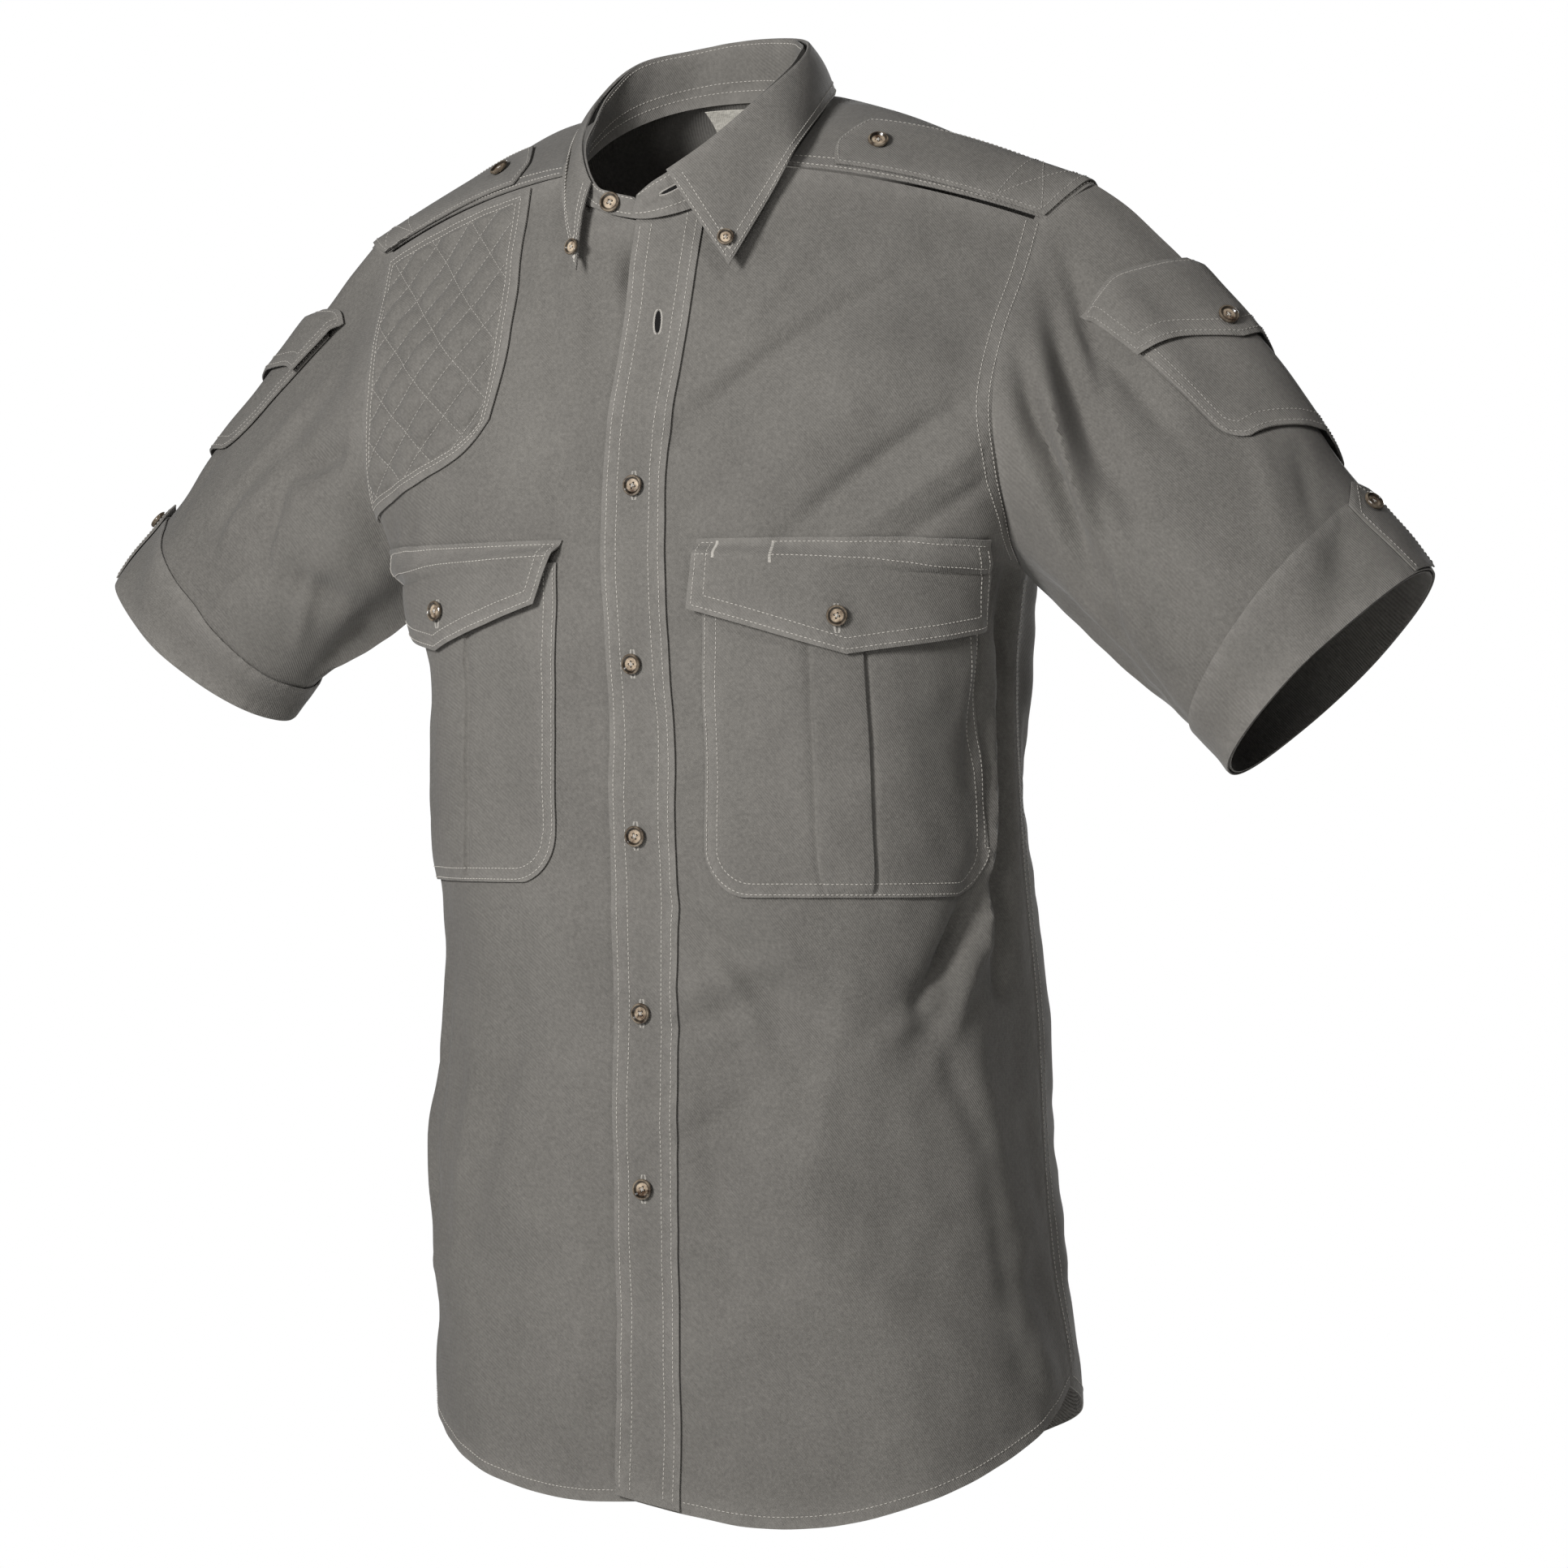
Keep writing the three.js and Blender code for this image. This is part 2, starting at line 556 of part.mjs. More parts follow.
// The armhole from the top of the shoulder to the armpit; the right shoulder lies lower
const SHOULDER_TOP = { left: vec(222, 14, -13), right: vec(219, 12, -28) };
const FRONT_CORNER = torso("front", reach("front", YOKE_ROW), YOKE_ROW);
const BACK_CORNER = torso("back", reach("back", BACK_SEAM), BACK_SEAM);
const ARMPIT_POINT = torso("front", reach("front", ARMPIT), ARMPIT);
const armholeRows = (face, top) =>
  steps(top, ARMPIT, 14)
    .slice(1, -1)
    .map((row) => torso(face, reach(face, row), row));
const RING_STEPS = 180;
const shoulderEnds = (side) => [
  FRONT_CORNER,
  FRONT_CORNER.clone().lerp(SHOULDER_TOP[side], 0.5).add(vec(3, -2, 3)),
  SHOULDER_TOP[side],
  BACK_CORNER.clone().lerp(SHOULDER_TOP[side], 0.5).add(vec(4, 4, 8)),
  BACK_CORNER,
];
function armholePaths(side) {
  const [corner, front, top, back, backCorner] = shoulderEnds(side);
  const before = [top, front, corner, ...armholeRows("front", YOKE_ROW), ARMPIT_POINT];
  const behind = [top, back, backCorner, ...armholeRows("back", BACK_SEAM), ARMPIT_POINT];
  return [evenly(before, RING_STEPS), evenly(behind, RING_STEPS)];
}
const ARMHOLES = { left: armholePaths("left"), right: armholePaths("right") };
// By degrees round from the top: positive over the front, negative over the back
function armhole(side, turn) {
  const path = ARMHOLES[side][turn >= 0 ? 0 : 1];
  const place = clamp(Math.abs(turn) / 180) * RING_STEPS;
  const i = Math.min(RING_STEPS - 1, Math.floor(place));
  return path[i].clone().lerp(path[i + 1], place - i);
}

// The yoke: from the front seam over the shoulder to the back seam, both sides in one piece
const YOKE_AROUND = 10; // cells from the front seam to the centre back, on each side
const YOKE_OUT = 9;
const YOKE_BACK_ROW = BACK_SEAM + 0.8;
const YOKE_TURN = 0.62; // share of the way round where the outer edge turns along the back seam
const YOKE_END_STEPS = 60;
const YOKE_ENDS = {
  left: evenly(shoulderEnds("left"), YOKE_END_STEPS),
  right: evenly(shoulderEnds("right"), YOKE_END_STEPS),
};
const NECK_CORNER = neckRing(NECK_SEAM_TURN);
const SEAM_START = 58;
function yokePoint(side, around, out) {
  const inner = neckRing(mix(NECK_SEAM_TURN, 180, around));
  let outer;
  if (around < YOKE_TURN) {
    const place = (around / YOKE_TURN) * YOKE_END_STEPS;
    const i = Math.min(YOKE_END_STEPS - 1, Math.floor(place));
    outer = YOKE_ENDS[side][i].clone().lerp(YOKE_ENDS[side][i + 1], place - i);
  } else {
    const share = 1 - (around - YOKE_TURN) / (1 - YOKE_TURN);
    outer = torso("back", share * reach("back", YOKE_BACK_ROW), YOKE_BACK_ROW);
  }
  const point = inner.clone().lerp(outer, out);
  // By the front seam it follows the top edge of the fronts
  const seam = torso("front", mix(SEAM_START, reach("front", YOKE_ROW), out), YOKE_ROW);
  const onLine = NECK_CORNER.clone().lerp(FRONT_CORNER, out);
  point.addScaledVector(seam.sub(onLine), 1 - smooth(around / 0.3));
  const bulge = Math.sin(Math.PI * out ** 0.8);
  const ridge = Math.sin(Math.PI * out ** mix(0.6, 1, smooth((around - 0.55) / 0.3)));
  point.z += 22 * ridge * smooth(around * 3) * smooth((1.2 - around) * 2);
  point.y += 9 * bulge * smooth((around - 0.45) / 0.35);
  if (side === "right") point.x = -point.x;
  return point;
}
function onYoke(side, around, out, lift) {
  const at = (dAround, dOut) => yokePoint(side, around + dAround, out + dOut);
  const [u, v] = [at(0.01, 0).sub(at(-0.01, 0)), at(0, 0.01).sub(at(0, -0.01))];
  const normal = v.cross(u).normalize();
  if (normal.z < 0) normal.negate();
  return at(0, 0).addScaledVector(normal, lift);
}
const SEAM_EASE = 0.012;
function yokeGrid() {
  const outs = steps(0.004, 1, YOKE_OUT);
  const half = steps(SEAM_EASE, 1, YOKE_AROUND);
  const left = half.map((around) => outs.map((out) => yokePoint("left", around, out)));
  const right = half
    .slice(0, -1)
    .reverse()
    .map((around) => outs.map((out) => yokePoint("right", around, out)));
  return [...left, ...right];
}
add("yoke", wall(yokeGrid(), CLOTH));

// An epaulette: a strap over the shoulder with a shield-shaped end by the neck
const OFF_YOKE = OFF_PANEL + 0.8;
const EPAULETTE = { centre: 0.135, neck: 0.12, half: 23, tip: 0.205, shoulder: 0.05, end: 0.985 };
function epaulette(side) {
  return steps(0, 1, 10).map((along) =>
    steps(-1, 1, 4).map((over) => {
      const start = EPAULETTE.tip + EPAULETTE.shoulder * Math.abs(over) ** 1.5;
      const out = mix(start, EPAULETTE.end, along ** 1.3);
      const ends = yokePoint(side, EPAULETTE.centre + 0.02, out);
      const pace = ends.distanceTo(yokePoint(side, EPAULETTE.centre - 0.02, out)) / 0.04;
      const around = mix(EPAULETTE.neck, EPAULETTE.centre, out) + (over * EPAULETTE.half) / pace;
      return onYoke(side, Math.max(around, SEAM_EASE), out, OFF_YOKE);
    }),
  );
}
add("epaulette_left", wall(epaulette("left"), CLOTH, { flip: true }));
add("epaulette_right", wall(epaulette("right"), CLOTH));

// A sleeve: from the armhole, leaving it in the line of the shoulder, to the round cuff
const SLEEVE_LENGTH = 200; // nominal: folds and trims are placed along it in millimetres
const CUFF_DEPTH = 42;
const SLEEVE_GAP = 1.2;
function cuffPoint(sleeve, turn) {
  const axis = vec(...sleeve.axis).normalize();
  const up = vec(0, 0, 1).addScaledVector(axis, -axis.z).normalize();
  const forward = up.clone().cross(axis).multiplyScalar(sleeve.side);
  if (forward.y > 0) forward.negate();
  const angle = radians(turn);
  return vec(...sleeve.cuff)
    .addScaledVector(up, sleeve.tall * Math.cos(angle))
    .addScaledVector(forward, sleeve.deep * Math.sin(angle));
}
function smoothSleeve(side, turn, along) {
  const sleeve = SLEEVES[side];
  const axis = vec(...sleeve.axis).normalize();
  const start = armhole(side, turn);
  start.x *= sleeve.side;
  const end = cuffPoint(sleeve, turn);
  const lower = (1 - Math.cos(radians(turn))) / 2;
  const [out, down] = sleeve.leave;
  const leave = vec(sleeve.side * out, 0, down).lerp(axis, lower ** 0.8).normalize();
  const length = start.distanceTo(end);
  const t = along / SLEEVE_LENGTH;
  const [t2, t3] = [t * t, t * t * t];
  return start
    .multiplyScalar(2 * t3 - 3 * t2 + 1)
    .addScaledVector(leave, (t3 - 2 * t2 + t) * length)
    .addScaledVector(end, 3 * t2 - 2 * t3)
    .addScaledVector(axis, (t3 - t2) * length * 0.8);
}
const TURN_MM = 1.25; // millimetres of cloth for each degree round a sleeve
const wrapTurn = (turn) => ((turn + 540) % 360) - 180;
function onSleeve(side, turn, along, lift = 0) {
  const at = (dTurn, dAlong) => smoothSleeve(side, wrapTurn(turn + dTurn), along + dAlong);
  const u = at(3, 0).sub(at(-3, 0));
  const v = at(0, 3).sub(at(0, -3));
  const normal = u.cross(v).normalize().multiplyScalar(SLEEVES[side].side);
  const calm = smooth(along / 25);
  const height = calm * foldHeight(SLEEVE_FOLDS[side], wrapTurn(turn), along, TURN_MM);
  return at(0, 0).addScaledVector(normal, height + lift);
}
const SLEEVE_COLUMNS = 28;
const turns = steps(-180, 180, SLEEVE_COLUMNS).slice(0, -1);
function sleeveGrid(side) {
  const rows = [SLEEVE_GAP, 8, ...steps(20, SLEEVE_LENGTH, 9)];
  return rows.map((along) => turns.map((turn) => onSleeve(side, turn, along)));
}
function cuffGrid(side) {
  const lift = REST_GAP + CLOTH;
  return steps(SLEEVE_LENGTH - CUFF_DEPTH, SLEEVE_LENGTH, 2).map((along) =>
    turns.map((turn) => onSleeve(side, turn, along, lift)),
  );
}
for (const side of ["left", "right"]) {
  const flip = side === "right";
  add("sleeve_" + side, wall(sleeveGrid(side), CLOTH, { closed: true, flip }));
  add("cuff_" + side, wall(cuffGrid(side), CLOTH, { closed: true, flip }));
}

// What a sleeve carries, placed by degrees round from its top and by millimetres along:
// a pocket with a flap on the upper arm, and a tab that holds up the turned cuff
const SLEEVE_TRIMS = {
  left: { pocket: 8, tab: 8, off: OFF_PANEL + 0.75, flip: true },
  right: { pocket: -8, tab: 4, off: OFF_PANEL + 0.4, flip: false },
};
const ARM_POCKET = { half: 36, top: 53, low: 125, skew: 0.42, corner: 12, swell: 1.5 };
const ARM_FLAP = { half: 38, top: 43, low: 74, point: 84, lift: 3 };
const ARM_FLAP_EDGE = 0.3; // the flap's seam lies this far over the pocket's
const TAB = { half: 12, start: 151, tip: 8 };
function armPoint(side, turn, along, lift) {
  const centre = SLEEVE_TRIMS[side].pocket;
  return onSleeve(side, centre + turn, along - ARM_POCKET.skew * turn, lift);
}
function armPocket(side) {
  return [0, 0.06, 0.16, 0.4, 0.7, 1].map((up) =>
    steps(-1, 1, 8).map((over) => {
      const along = mix(ARM_POCKET.low, ARM_POCKET.top, up);
      const rise = ARM_POCKET.low - along + 0.6;
      const inset = cornerInset(rise, ARM_POCKET.corner);
      const swell = ARM_POCKET.swell * (1 - over ** 2);
      return armPoint(side, over * (ARM_POCKET.half - inset), along, SLEEVE_TRIMS[side].off + swell);
    }),
  );
}
function armFlap(side) {
  return steps(0, 1, 4).map((up) =>
    steps(-1, 1, 8).map((over) => {
      const low = mix(ARM_FLAP.point, ARM_FLAP.low, Math.abs(over));
      const along = mix(low, ARM_FLAP.top, up);
      const raise = (ARM_FLAP.lift + ARM_POCKET.swell) * smooth((1 - up) * 5);
      const lift = SLEEVE_TRIMS[side].off + ARM_FLAP_EDGE + raise;
      return armPoint(side, over * ARM_FLAP.half, along, lift);
    }),
  );
}
function tab(side) {
  return steps(0, 1, 6).map((up) =>
    steps(-1, 1, 4).map((over) => {
      const start = TAB.start + TAB.tip * Math.abs(over);
      const along = mix(SLEEVE_LENGTH - 0.5, start, up);
      return onSleeve(side, SLEEVE_TRIMS[side].tab + over * TAB.half, along, 2 * OFF_PANEL);
    }),
  );
}
for (const side of ["left", "right"]) {
  const { flip } = SLEEVE_TRIMS[side];
  add("sleeve_pocket_" + side, wall(armPocket(side), CLOTH, { flip }));
  add("sleeve_flap_" + side, wall(armFlap(side), CLOTH, { flip }));
  add("tab_" + side, wall(tab(side), CLOTH, { flip }));
}

// The top edge of the collar stand, by degrees round from the centre front over the left side
const STAND_TOP = [
  { turn: -4, x: -5, y: -81, z: -17 },
  { turn: 4, x: 5, y: -83, z: -11 },
  { turn: 12, x: 14, y: -82, z: -6 },
  { turn: 30, x: 34, y: -73, z: 10 },
  { turn: 50, x: 52, y: -52, z: 34 },
  { turn: 80, x: 60, y: -20, z: 57 },
  { turn: 110, x: 55, y: 5, z: 70 },
  { turn: 145, x: 36, y: 32, z: 79 },
  { turn: 180, x: 3, y: 44, z: 82 },
  { turn: 215, x: -30, y: 41, z: 78 },
  { turn: 250, x: -53, y: 23, z: 70 },
  { turn: 280, x: -60, y: 0, z: 54 },
  { turn: 305, x: -57, y: -30, z: 32 },
  { turn: 322, x: -47, y: -58, z: 12 },
  { turn: 335, x: -33, y: -75, z: -9 },
  { turn: 347, x: -20, y: -78, z: -15 },
  { turn: 359, x: -6, y: -77, z: -19 },
];
const LEAF_EDGE = [
  { turn: 12, x: 55, y: -91, z: -58 },
  { turn: 35, x: 68, y: -76, z: -27 },
  { turn: 62, x: 79, y: -60, z: 4 },
  { turn: 95, x: 74, y: -8, z: 34 },
  { turn: 130, x: 58, y: 40, z: 50 },
  { turn: 155, x: 34, y: 62, z: 54 },
  { turn: 180, x: 0, y: 70, z: 52 },
  { turn: 205, x: -35, y: 62, z: 54 },
  { turn: 235, x: -61, y: 38, z: 50 },
  { turn: 265, x: -71, y: -8, z: 34 },
  { turn: 298, x: -58, y: -58, z: 9 },
  { turn: 318, x: -48, y: -81, z: -25 },
  { turn: 335, x: -36, y: -92, z: -57 },
];
const LEAF = { roll: 2.6, bow: 3, thick: 1.6 };
const STAND_FOOT = 1.3; // the stand starts this far above the neck seam
const pointAt = (table, turn) =>
  vec(read(table, "turn", turn, "x"), read(table, "turn", turn, "y"), read(table, "turn", turn, "z"));
function standPoint(turn, up) {
  const foot = neckRing(turn);
  const tuck = 3.5 * smooth((turn - 338) / 12);
  foot.y += tuck;
  return foot.lerp(pointAt(STAND_TOP, turn), up).add(vec(0, 0, STAND_FOOT * (1 - up)));
}
const STAND_TURNS = [-4, 4, 12, 22, ...steps(32, 320, 18), 328, 335, 343, 351, 358];
function standGrid() {
  return [0, 0.5, 1].map((up) => STAND_TURNS.map((turn) => standPoint(turn, up)));
}
add("collar_stand", wall(standGrid(), BAND));

const LEAF_TURNS = [12, 18, ...steps(26, 321, 20), 329, 335];
function leafPoint(turn, down) {
  const top = pointAt(STAND_TOP, turn);
  const centre = vec(0, -18, top.z);
  const out = top.clone().sub(centre).normalize();
  const start = top.clone().addScaledVector(out, LEAF.roll).add(vec(0, 0, 1.2));
  const point = start.lerp(pointAt(LEAF_EDGE, turn), down);
  return point.addScaledVector(out, LEAF.bow * Math.sin(Math.PI * down) * (1 - 0.5 * down));
}
function leafGrid() {
  return [1, 0.8, 0.6, 0.4, 0.18, 0].map((down) => LEAF_TURNS.map((turn) => leafPoint(turn, down)));
}
add("collar_leaf", wall(leafGrid(), LEAF.thick));

// The neck label: blank, hanging from the neck seam on the inside of the yoke
const LABEL = { half: 25.5, long: 44, thick: 0.6 };
function yokeAt(x, out) {
  let [low, high] = [0.4, 1];
  for (let i = 0; i < 24; i += 1) {
    const middle = (low + high) / 2;
    if (yokePoint("left", middle, out).x > Math.abs(x)) low = middle;
    else high = middle;
  }
  return low;
}
function label() {
  const inside = -(CLOTH + REST_GAP + 0.8);
  return steps(0.04, 0.04 + LABEL.long / 140, 3).map((out) =>
    steps(-LABEL.half, LABEL.half, 4).map((x) => {
      const point = onYoke("left", yokeAt(x, out), out, inside);
      return vec(x, point.y, point.z);
    }),
  );
}
add("label", wall(label(), LABEL.thick, { flip: true }), labelCloth);

// Buttons: a turned disc with a raised rim, set on its cloth
const BUTTON_STEPS = 10;
const SEAT = 0.5;
function button(name, foot, normal, radius = BUTTON.radius) {
  const { height, rim, dish } = BUTTON;
  const profile = [
    [0, 0],
    [radius * 0.8, 0],
    [radius, height * 0.5],
    [radius - 0.4, height],
    [radius - rim - 0.4, height],
    [radius - rim - 1.2, height - dish],
    [0, height - dish],
  ].map(([x, y]) => new THREE.Vector2(x, y));
  const geometry = new THREE.LatheGeometry(profile, BUTTON_STEPS);
  const turn = new THREE.Quaternion().setFromUnitVectors(vec(0, 1, 0), normal);
  geometry.applyQuaternion(turn);
  const seat = foot.clone().addScaledVector(normal, SEAT);
  geometry.translate(seat.x, seat.y, seat.z);
  add(name, geometry, horn);
}
// The outward normal of a surface given as a function of two numbers
function normalOf(at, a, b, step, away) {
  const u = at(a + step, b).sub(at(a - step, b));
  const v = at(a, b + step).sub(at(a, b - step));
  const normal = u.cross(v).normalize();
  return normal.dot(at(a, b).sub(away)) < 0 ? normal.negate() : normal;
}
function buttonOn(name, at, a, b, step, away, radius) {
  button(name, at(a, b), normalOf(at, a, b, step, away), radius);
}
const TORSO_MIDDLE = vec(0, 20, -300);
const NECK_MIDDLE = vec(0, -20, -20);
const BAND_BUTTONS = [-174, -269, -360.6, -455.6, -549.6];
BAND_BUTTONS.forEach((row, i) => {
  const at = (across, z) => frontPoint("left", across, z, REST_GAP + BAND);
  buttonOn("front_button_" + (i + 1), at, OPEN_BUTTON.across, row, 3, TORSO_MIDDLE);
});
const underBand = (across, z) => frontPoint("right", across, z);
buttonOn("front_button_open", underBand, OPEN_BUTTON.across, OPEN_BUTTON.row, 3, TORSO_MIDDLE);
const STAND_BUTTON = { turn: 344.5, up: 0.42 };
const standAt = (turn, up) => standPoint(turn, up / 100);
buttonOn("stand_button", standAt, STAND_BUTTON.turn, STAND_BUTTON.up * 100, 2, NECK_MIDDLE);
const leafAt = (turn, down) => leafPoint(turn, down / 100);
const LEAF_BUTTONS = { left: [16.5, 84], right: [332, 86] };
const FLAP_BUTTONS = { left: [113.5, -243.6], right: [123.5, -237.5] };
const EPAULETTE_BUTTON = 0.335;
const ARM_BUTTON = 75;
const TAB_BUTTON = 163;
for (const side of ["left", "right"]) {
  const sign = side === "left" ? 1 : -1;
  buttonOn("collar_button_" + side, leafAt, ...LEAF_BUTTONS[side], 2, NECK_MIDDLE, 4.6);
  const flapAt = (across, z) =>
    frontPoint(side, sign * across, z, OFF_PANEL + FLAP_LIFT + POCKET.swell * 0.6);
  buttonOn("chest_button_" + side, flapAt, ...FLAP_BUTTONS[side], 3, TORSO_MIDDLE);
  const strapAt = (around, out) => onYoke(side, around, out, OFF_YOKE);
  const place = mix(EPAULETTE.neck, EPAULETTE.centre, EPAULETTE_BUTTON);
  buttonOn("epaulette_button_" + side, strapAt, place, EPAULETTE_BUTTON, 0.01, TORSO_MIDDLE);
  const armMiddle = vec(sign * 270, 15, -170);
  const armAt = (turn, along) =>
    armPoint(side, turn, along, SLEEVE_TRIMS[side].off + ARM_FLAP.lift + ARM_POCKET.swell);
  buttonOn("sleeve_button_" + side, armAt, 0, ARM_BUTTON, 3, armMiddle);
  const tabAt = (turn, along) => onSleeve(side, turn, along, 2 * OFF_PANEL);
  buttonOn("tab_button_" + side, tabAt, SLEEVE_TRIMS[side].tab, TAB_BUTTON, 3, armMiddle);
}

export default shirt;
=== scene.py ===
# %% [markdown]
# A short-sleeved safari shirt, dressed for a picture.
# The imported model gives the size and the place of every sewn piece. This script hides those
# plain solids and puts thin, finely folded cloth, thread and polished buttons in their places.
# Everything is in metres here, but garments are drafted in millimetres, so the drafting tables
# stay in millimetres and one helper turns them into metres at the end.

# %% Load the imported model
import math
import bpy
import numpy as np
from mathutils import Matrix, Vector


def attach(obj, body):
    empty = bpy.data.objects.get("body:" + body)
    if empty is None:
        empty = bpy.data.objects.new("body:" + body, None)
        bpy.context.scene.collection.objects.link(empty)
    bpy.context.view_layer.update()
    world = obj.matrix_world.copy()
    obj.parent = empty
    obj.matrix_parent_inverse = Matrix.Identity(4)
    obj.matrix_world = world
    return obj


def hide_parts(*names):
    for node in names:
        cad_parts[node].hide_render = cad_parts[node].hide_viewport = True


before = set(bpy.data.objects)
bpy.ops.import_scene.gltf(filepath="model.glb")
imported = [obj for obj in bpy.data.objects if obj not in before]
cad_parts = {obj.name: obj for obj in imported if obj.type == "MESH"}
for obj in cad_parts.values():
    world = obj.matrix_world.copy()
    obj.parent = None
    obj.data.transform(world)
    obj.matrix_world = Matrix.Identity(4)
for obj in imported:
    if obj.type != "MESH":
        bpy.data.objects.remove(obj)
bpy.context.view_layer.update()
MM = 0.001
print("pieces in the packed model:", len(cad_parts))

# %% [markdown]
# The camera comes first, because every later choice is judged through it. The real picture was
# taken with a long lens from chest height, about 25 degrees round to the wearer's left, so the
# shirt keeps nearly parallel sides. A long lens far away gives that; a wide lens would swell the
# near sleeve.

# %% Camera
CAMERA_TURN = math.radians(24.9)
CAMERA_AWAY = 2.6726
CAMERA_SIDE = 0.0408
CAMERA_HEIGHT = -0.333
LENS = 111.43
camera_data = bpy.data.cameras.new("camera")
camera_data.lens = LENS
camera_data.sensor_width = 36
camera = bpy.data.objects.new("camera", camera_data)
bpy.context.scene.collection.objects.link(camera)
right_hand = Vector((math.cos(CAMERA_TURN), math.sin(CAMERA_TURN), 0))
look_back = Vector((math.sin(CAMERA_TURN), -math.cos(CAMERA_TURN), 0))
camera.location = right_hand * CAMERA_SIDE + look_back * CAMERA_AWAY + Vector((0, 0, CAMERA_HEIGHT))
camera.rotation_euler = (math.radians(90), 0, CAMERA_TURN)
bpy.context.scene.camera = camera
print("camera at", [round(value, 3) for value in camera.location])

# %% [markdown]
# The cut of the shirt. These are the same drafting tables as in the model's own source: the
# torso's half width and depth at each height, the armholes, the hem, the sleeves and the collar.
# Repeating them, rather than reading points off a mesh, keeps the cloth smooth at any fineness.

# %% Drafting tables
CLOTH = 1.2
BAND = 1.4
REST_GAP = 0.8
OFF_PANEL = REST_GAP + CLOTH
ARMPIT = -218
YOKE_ROW = 0
SHOULDER_DROP = 34
BACK_SEAM = -62
BACK_DROP = 18
PLACKET = 38
NECK = dict(width=62, front=-84, back=46, front_z=-30, back_z=50, squareness=2.3, rise=0.77)
SEAM_BOW = 2.2
NECK_SEAM_TURN = 64
SHOULDER_HALF = 200


def table(names, rows):
    columns = np.array(rows, float).T
    return dict(zip(names.split(), columns))


# The torso at each height: half width, where its front, side and back lie, and how far
# the sides sway to the wearer's left
TORSO = table("z width front side back sway", [
    (-760, 188, -73, 48, 150, 9),
    (-650, 184, -77, 50, 150, 9),
    (-600, 180, -79, 52, 149, 3),
    (-550, 177, -82, 54, 148, 0),
    (-456, 170, -85, 58, 144, 0),
    (-361, 169, -90, 38, 136, 0),
    (-269, 169, -94, 30, 132, 0),
    (-218, 177, -95, 22, 130, 0),
    (-174, 180, -95, 18, 130, 0),
    (-110, 180, -91, 15, 128, 0),
    (-60, 180, -86, 15, 116, 0),
    (0, 180, -76, 15, 96, 0),
])
# Where each panel ends above the armpit, and how its section is bowed
FRONT_ARMHOLE = table("z x y p q", [
    (-218, 177, 22, 2.5, 2.5),
    (-206, 184, -10, 2.5, 2.2),
    (-192, 187, -25, 2.6, 1.8),
    (-165, 189, -42, 2.7, 1.4),
    (-118, 190, -52, 2.6, 1.1),
    (-70, 193, -40, 1.9, 1.0),
    (-30, 197, -20, 1.5, 1.0),
    (0, 200, -7, 1.3, 1.0),
])
BACK_ARMHOLE = table("z x y p q", [
    (-218, 177, 22, 2.5, 2.5),
    (-204, 183, 42, 2.5, 2.2),
    (-185, 187, 60, 2.6, 1.7),
    (-150, 192, 74, 2.6, 1.3),
    (-110, 197, 76, 2.4, 1.1),
    (-62, 204, 64, 2.2, 1.0),
])
# The hem, at shares of the way round from the centre to the side seam
FRONT_HEM = table("share left right", [
    (0, -716, -716),
    (0.15, -724, -720),
    (0.3, -729, -720),
    (0.45, -726, -713),
    (0.6, -714, -701),
    (0.75, -697, -686),
    (0.88, -680, -670),
    (1, -660, -660),
])
BACK_HEM = table("share z", [
    (0, -738),
    (0.3, -733),
    (0.5, -708),
    (0.65, -692),
    (0.82, -676),
    (1, -660),
])
# How far the front edge of the left front passes the centre
LEFT_EDGE = table("z across", [
    (-730, -19),
    (-565, -17.5),
    (-304, -14.5),
    (-174, -18.5),
    (-88, -7.5),
    (-30, -4.5),
])
# The outline of the quilted shoulder patch
PATCH_INNER = table("up across", [
    (0, 91),
    (0.2, 83),
    (0.45, 80),
    (0.7, 81),
    (1, 84),
])
PATCH_LOW = table("out z", [
    (0, -133),
    (0.15, -149),
    (0.35, -160),
    (0.7, -174),
    (1, -184),
])
# The top edge of the collar stand, and the free edge of the collar leaf, by degrees round
STAND_TOP = table("turn x y z", [
    (-4, -5, -81, -17),
    (4, 5, -83, -11),
    (12, 14, -82, -6),
    (30, 34, -73, 10),
    (50, 52, -52, 34),
    (80, 60, -20, 57),
    (110, 55, 5, 70),
    (145, 36, 32, 79),
    (180, 3, 44, 82),
    (215, -30, 41, 78),
    (250, -53, 23, 70),
    (280, -60, 0, 54),
    (305, -57, -30, 32),
    (322, -47, -58, 12),
    (335, -33, -75, -9),
    (347, -20, -78, -15),
    (359, -6, -77, -19),
])
LEAF_EDGE = table("turn x y z", [
    (12, 55, -91, -58),
    (35, 68, -76, -27),
    (62, 79, -60, 4),
    (95, 74, -8, 34),
    (130, 58, 40, 50),
    (155, 34, 62, 54),
    (180, 0, 70, 52),
    (205, -35, 62, 54),
    (235, -61, 38, 50),
    (265, -71, -8, 34),
    (298, -58, -58, 9),
    (318, -48, -81, -25),
    (335, -36, -92, -57),
])
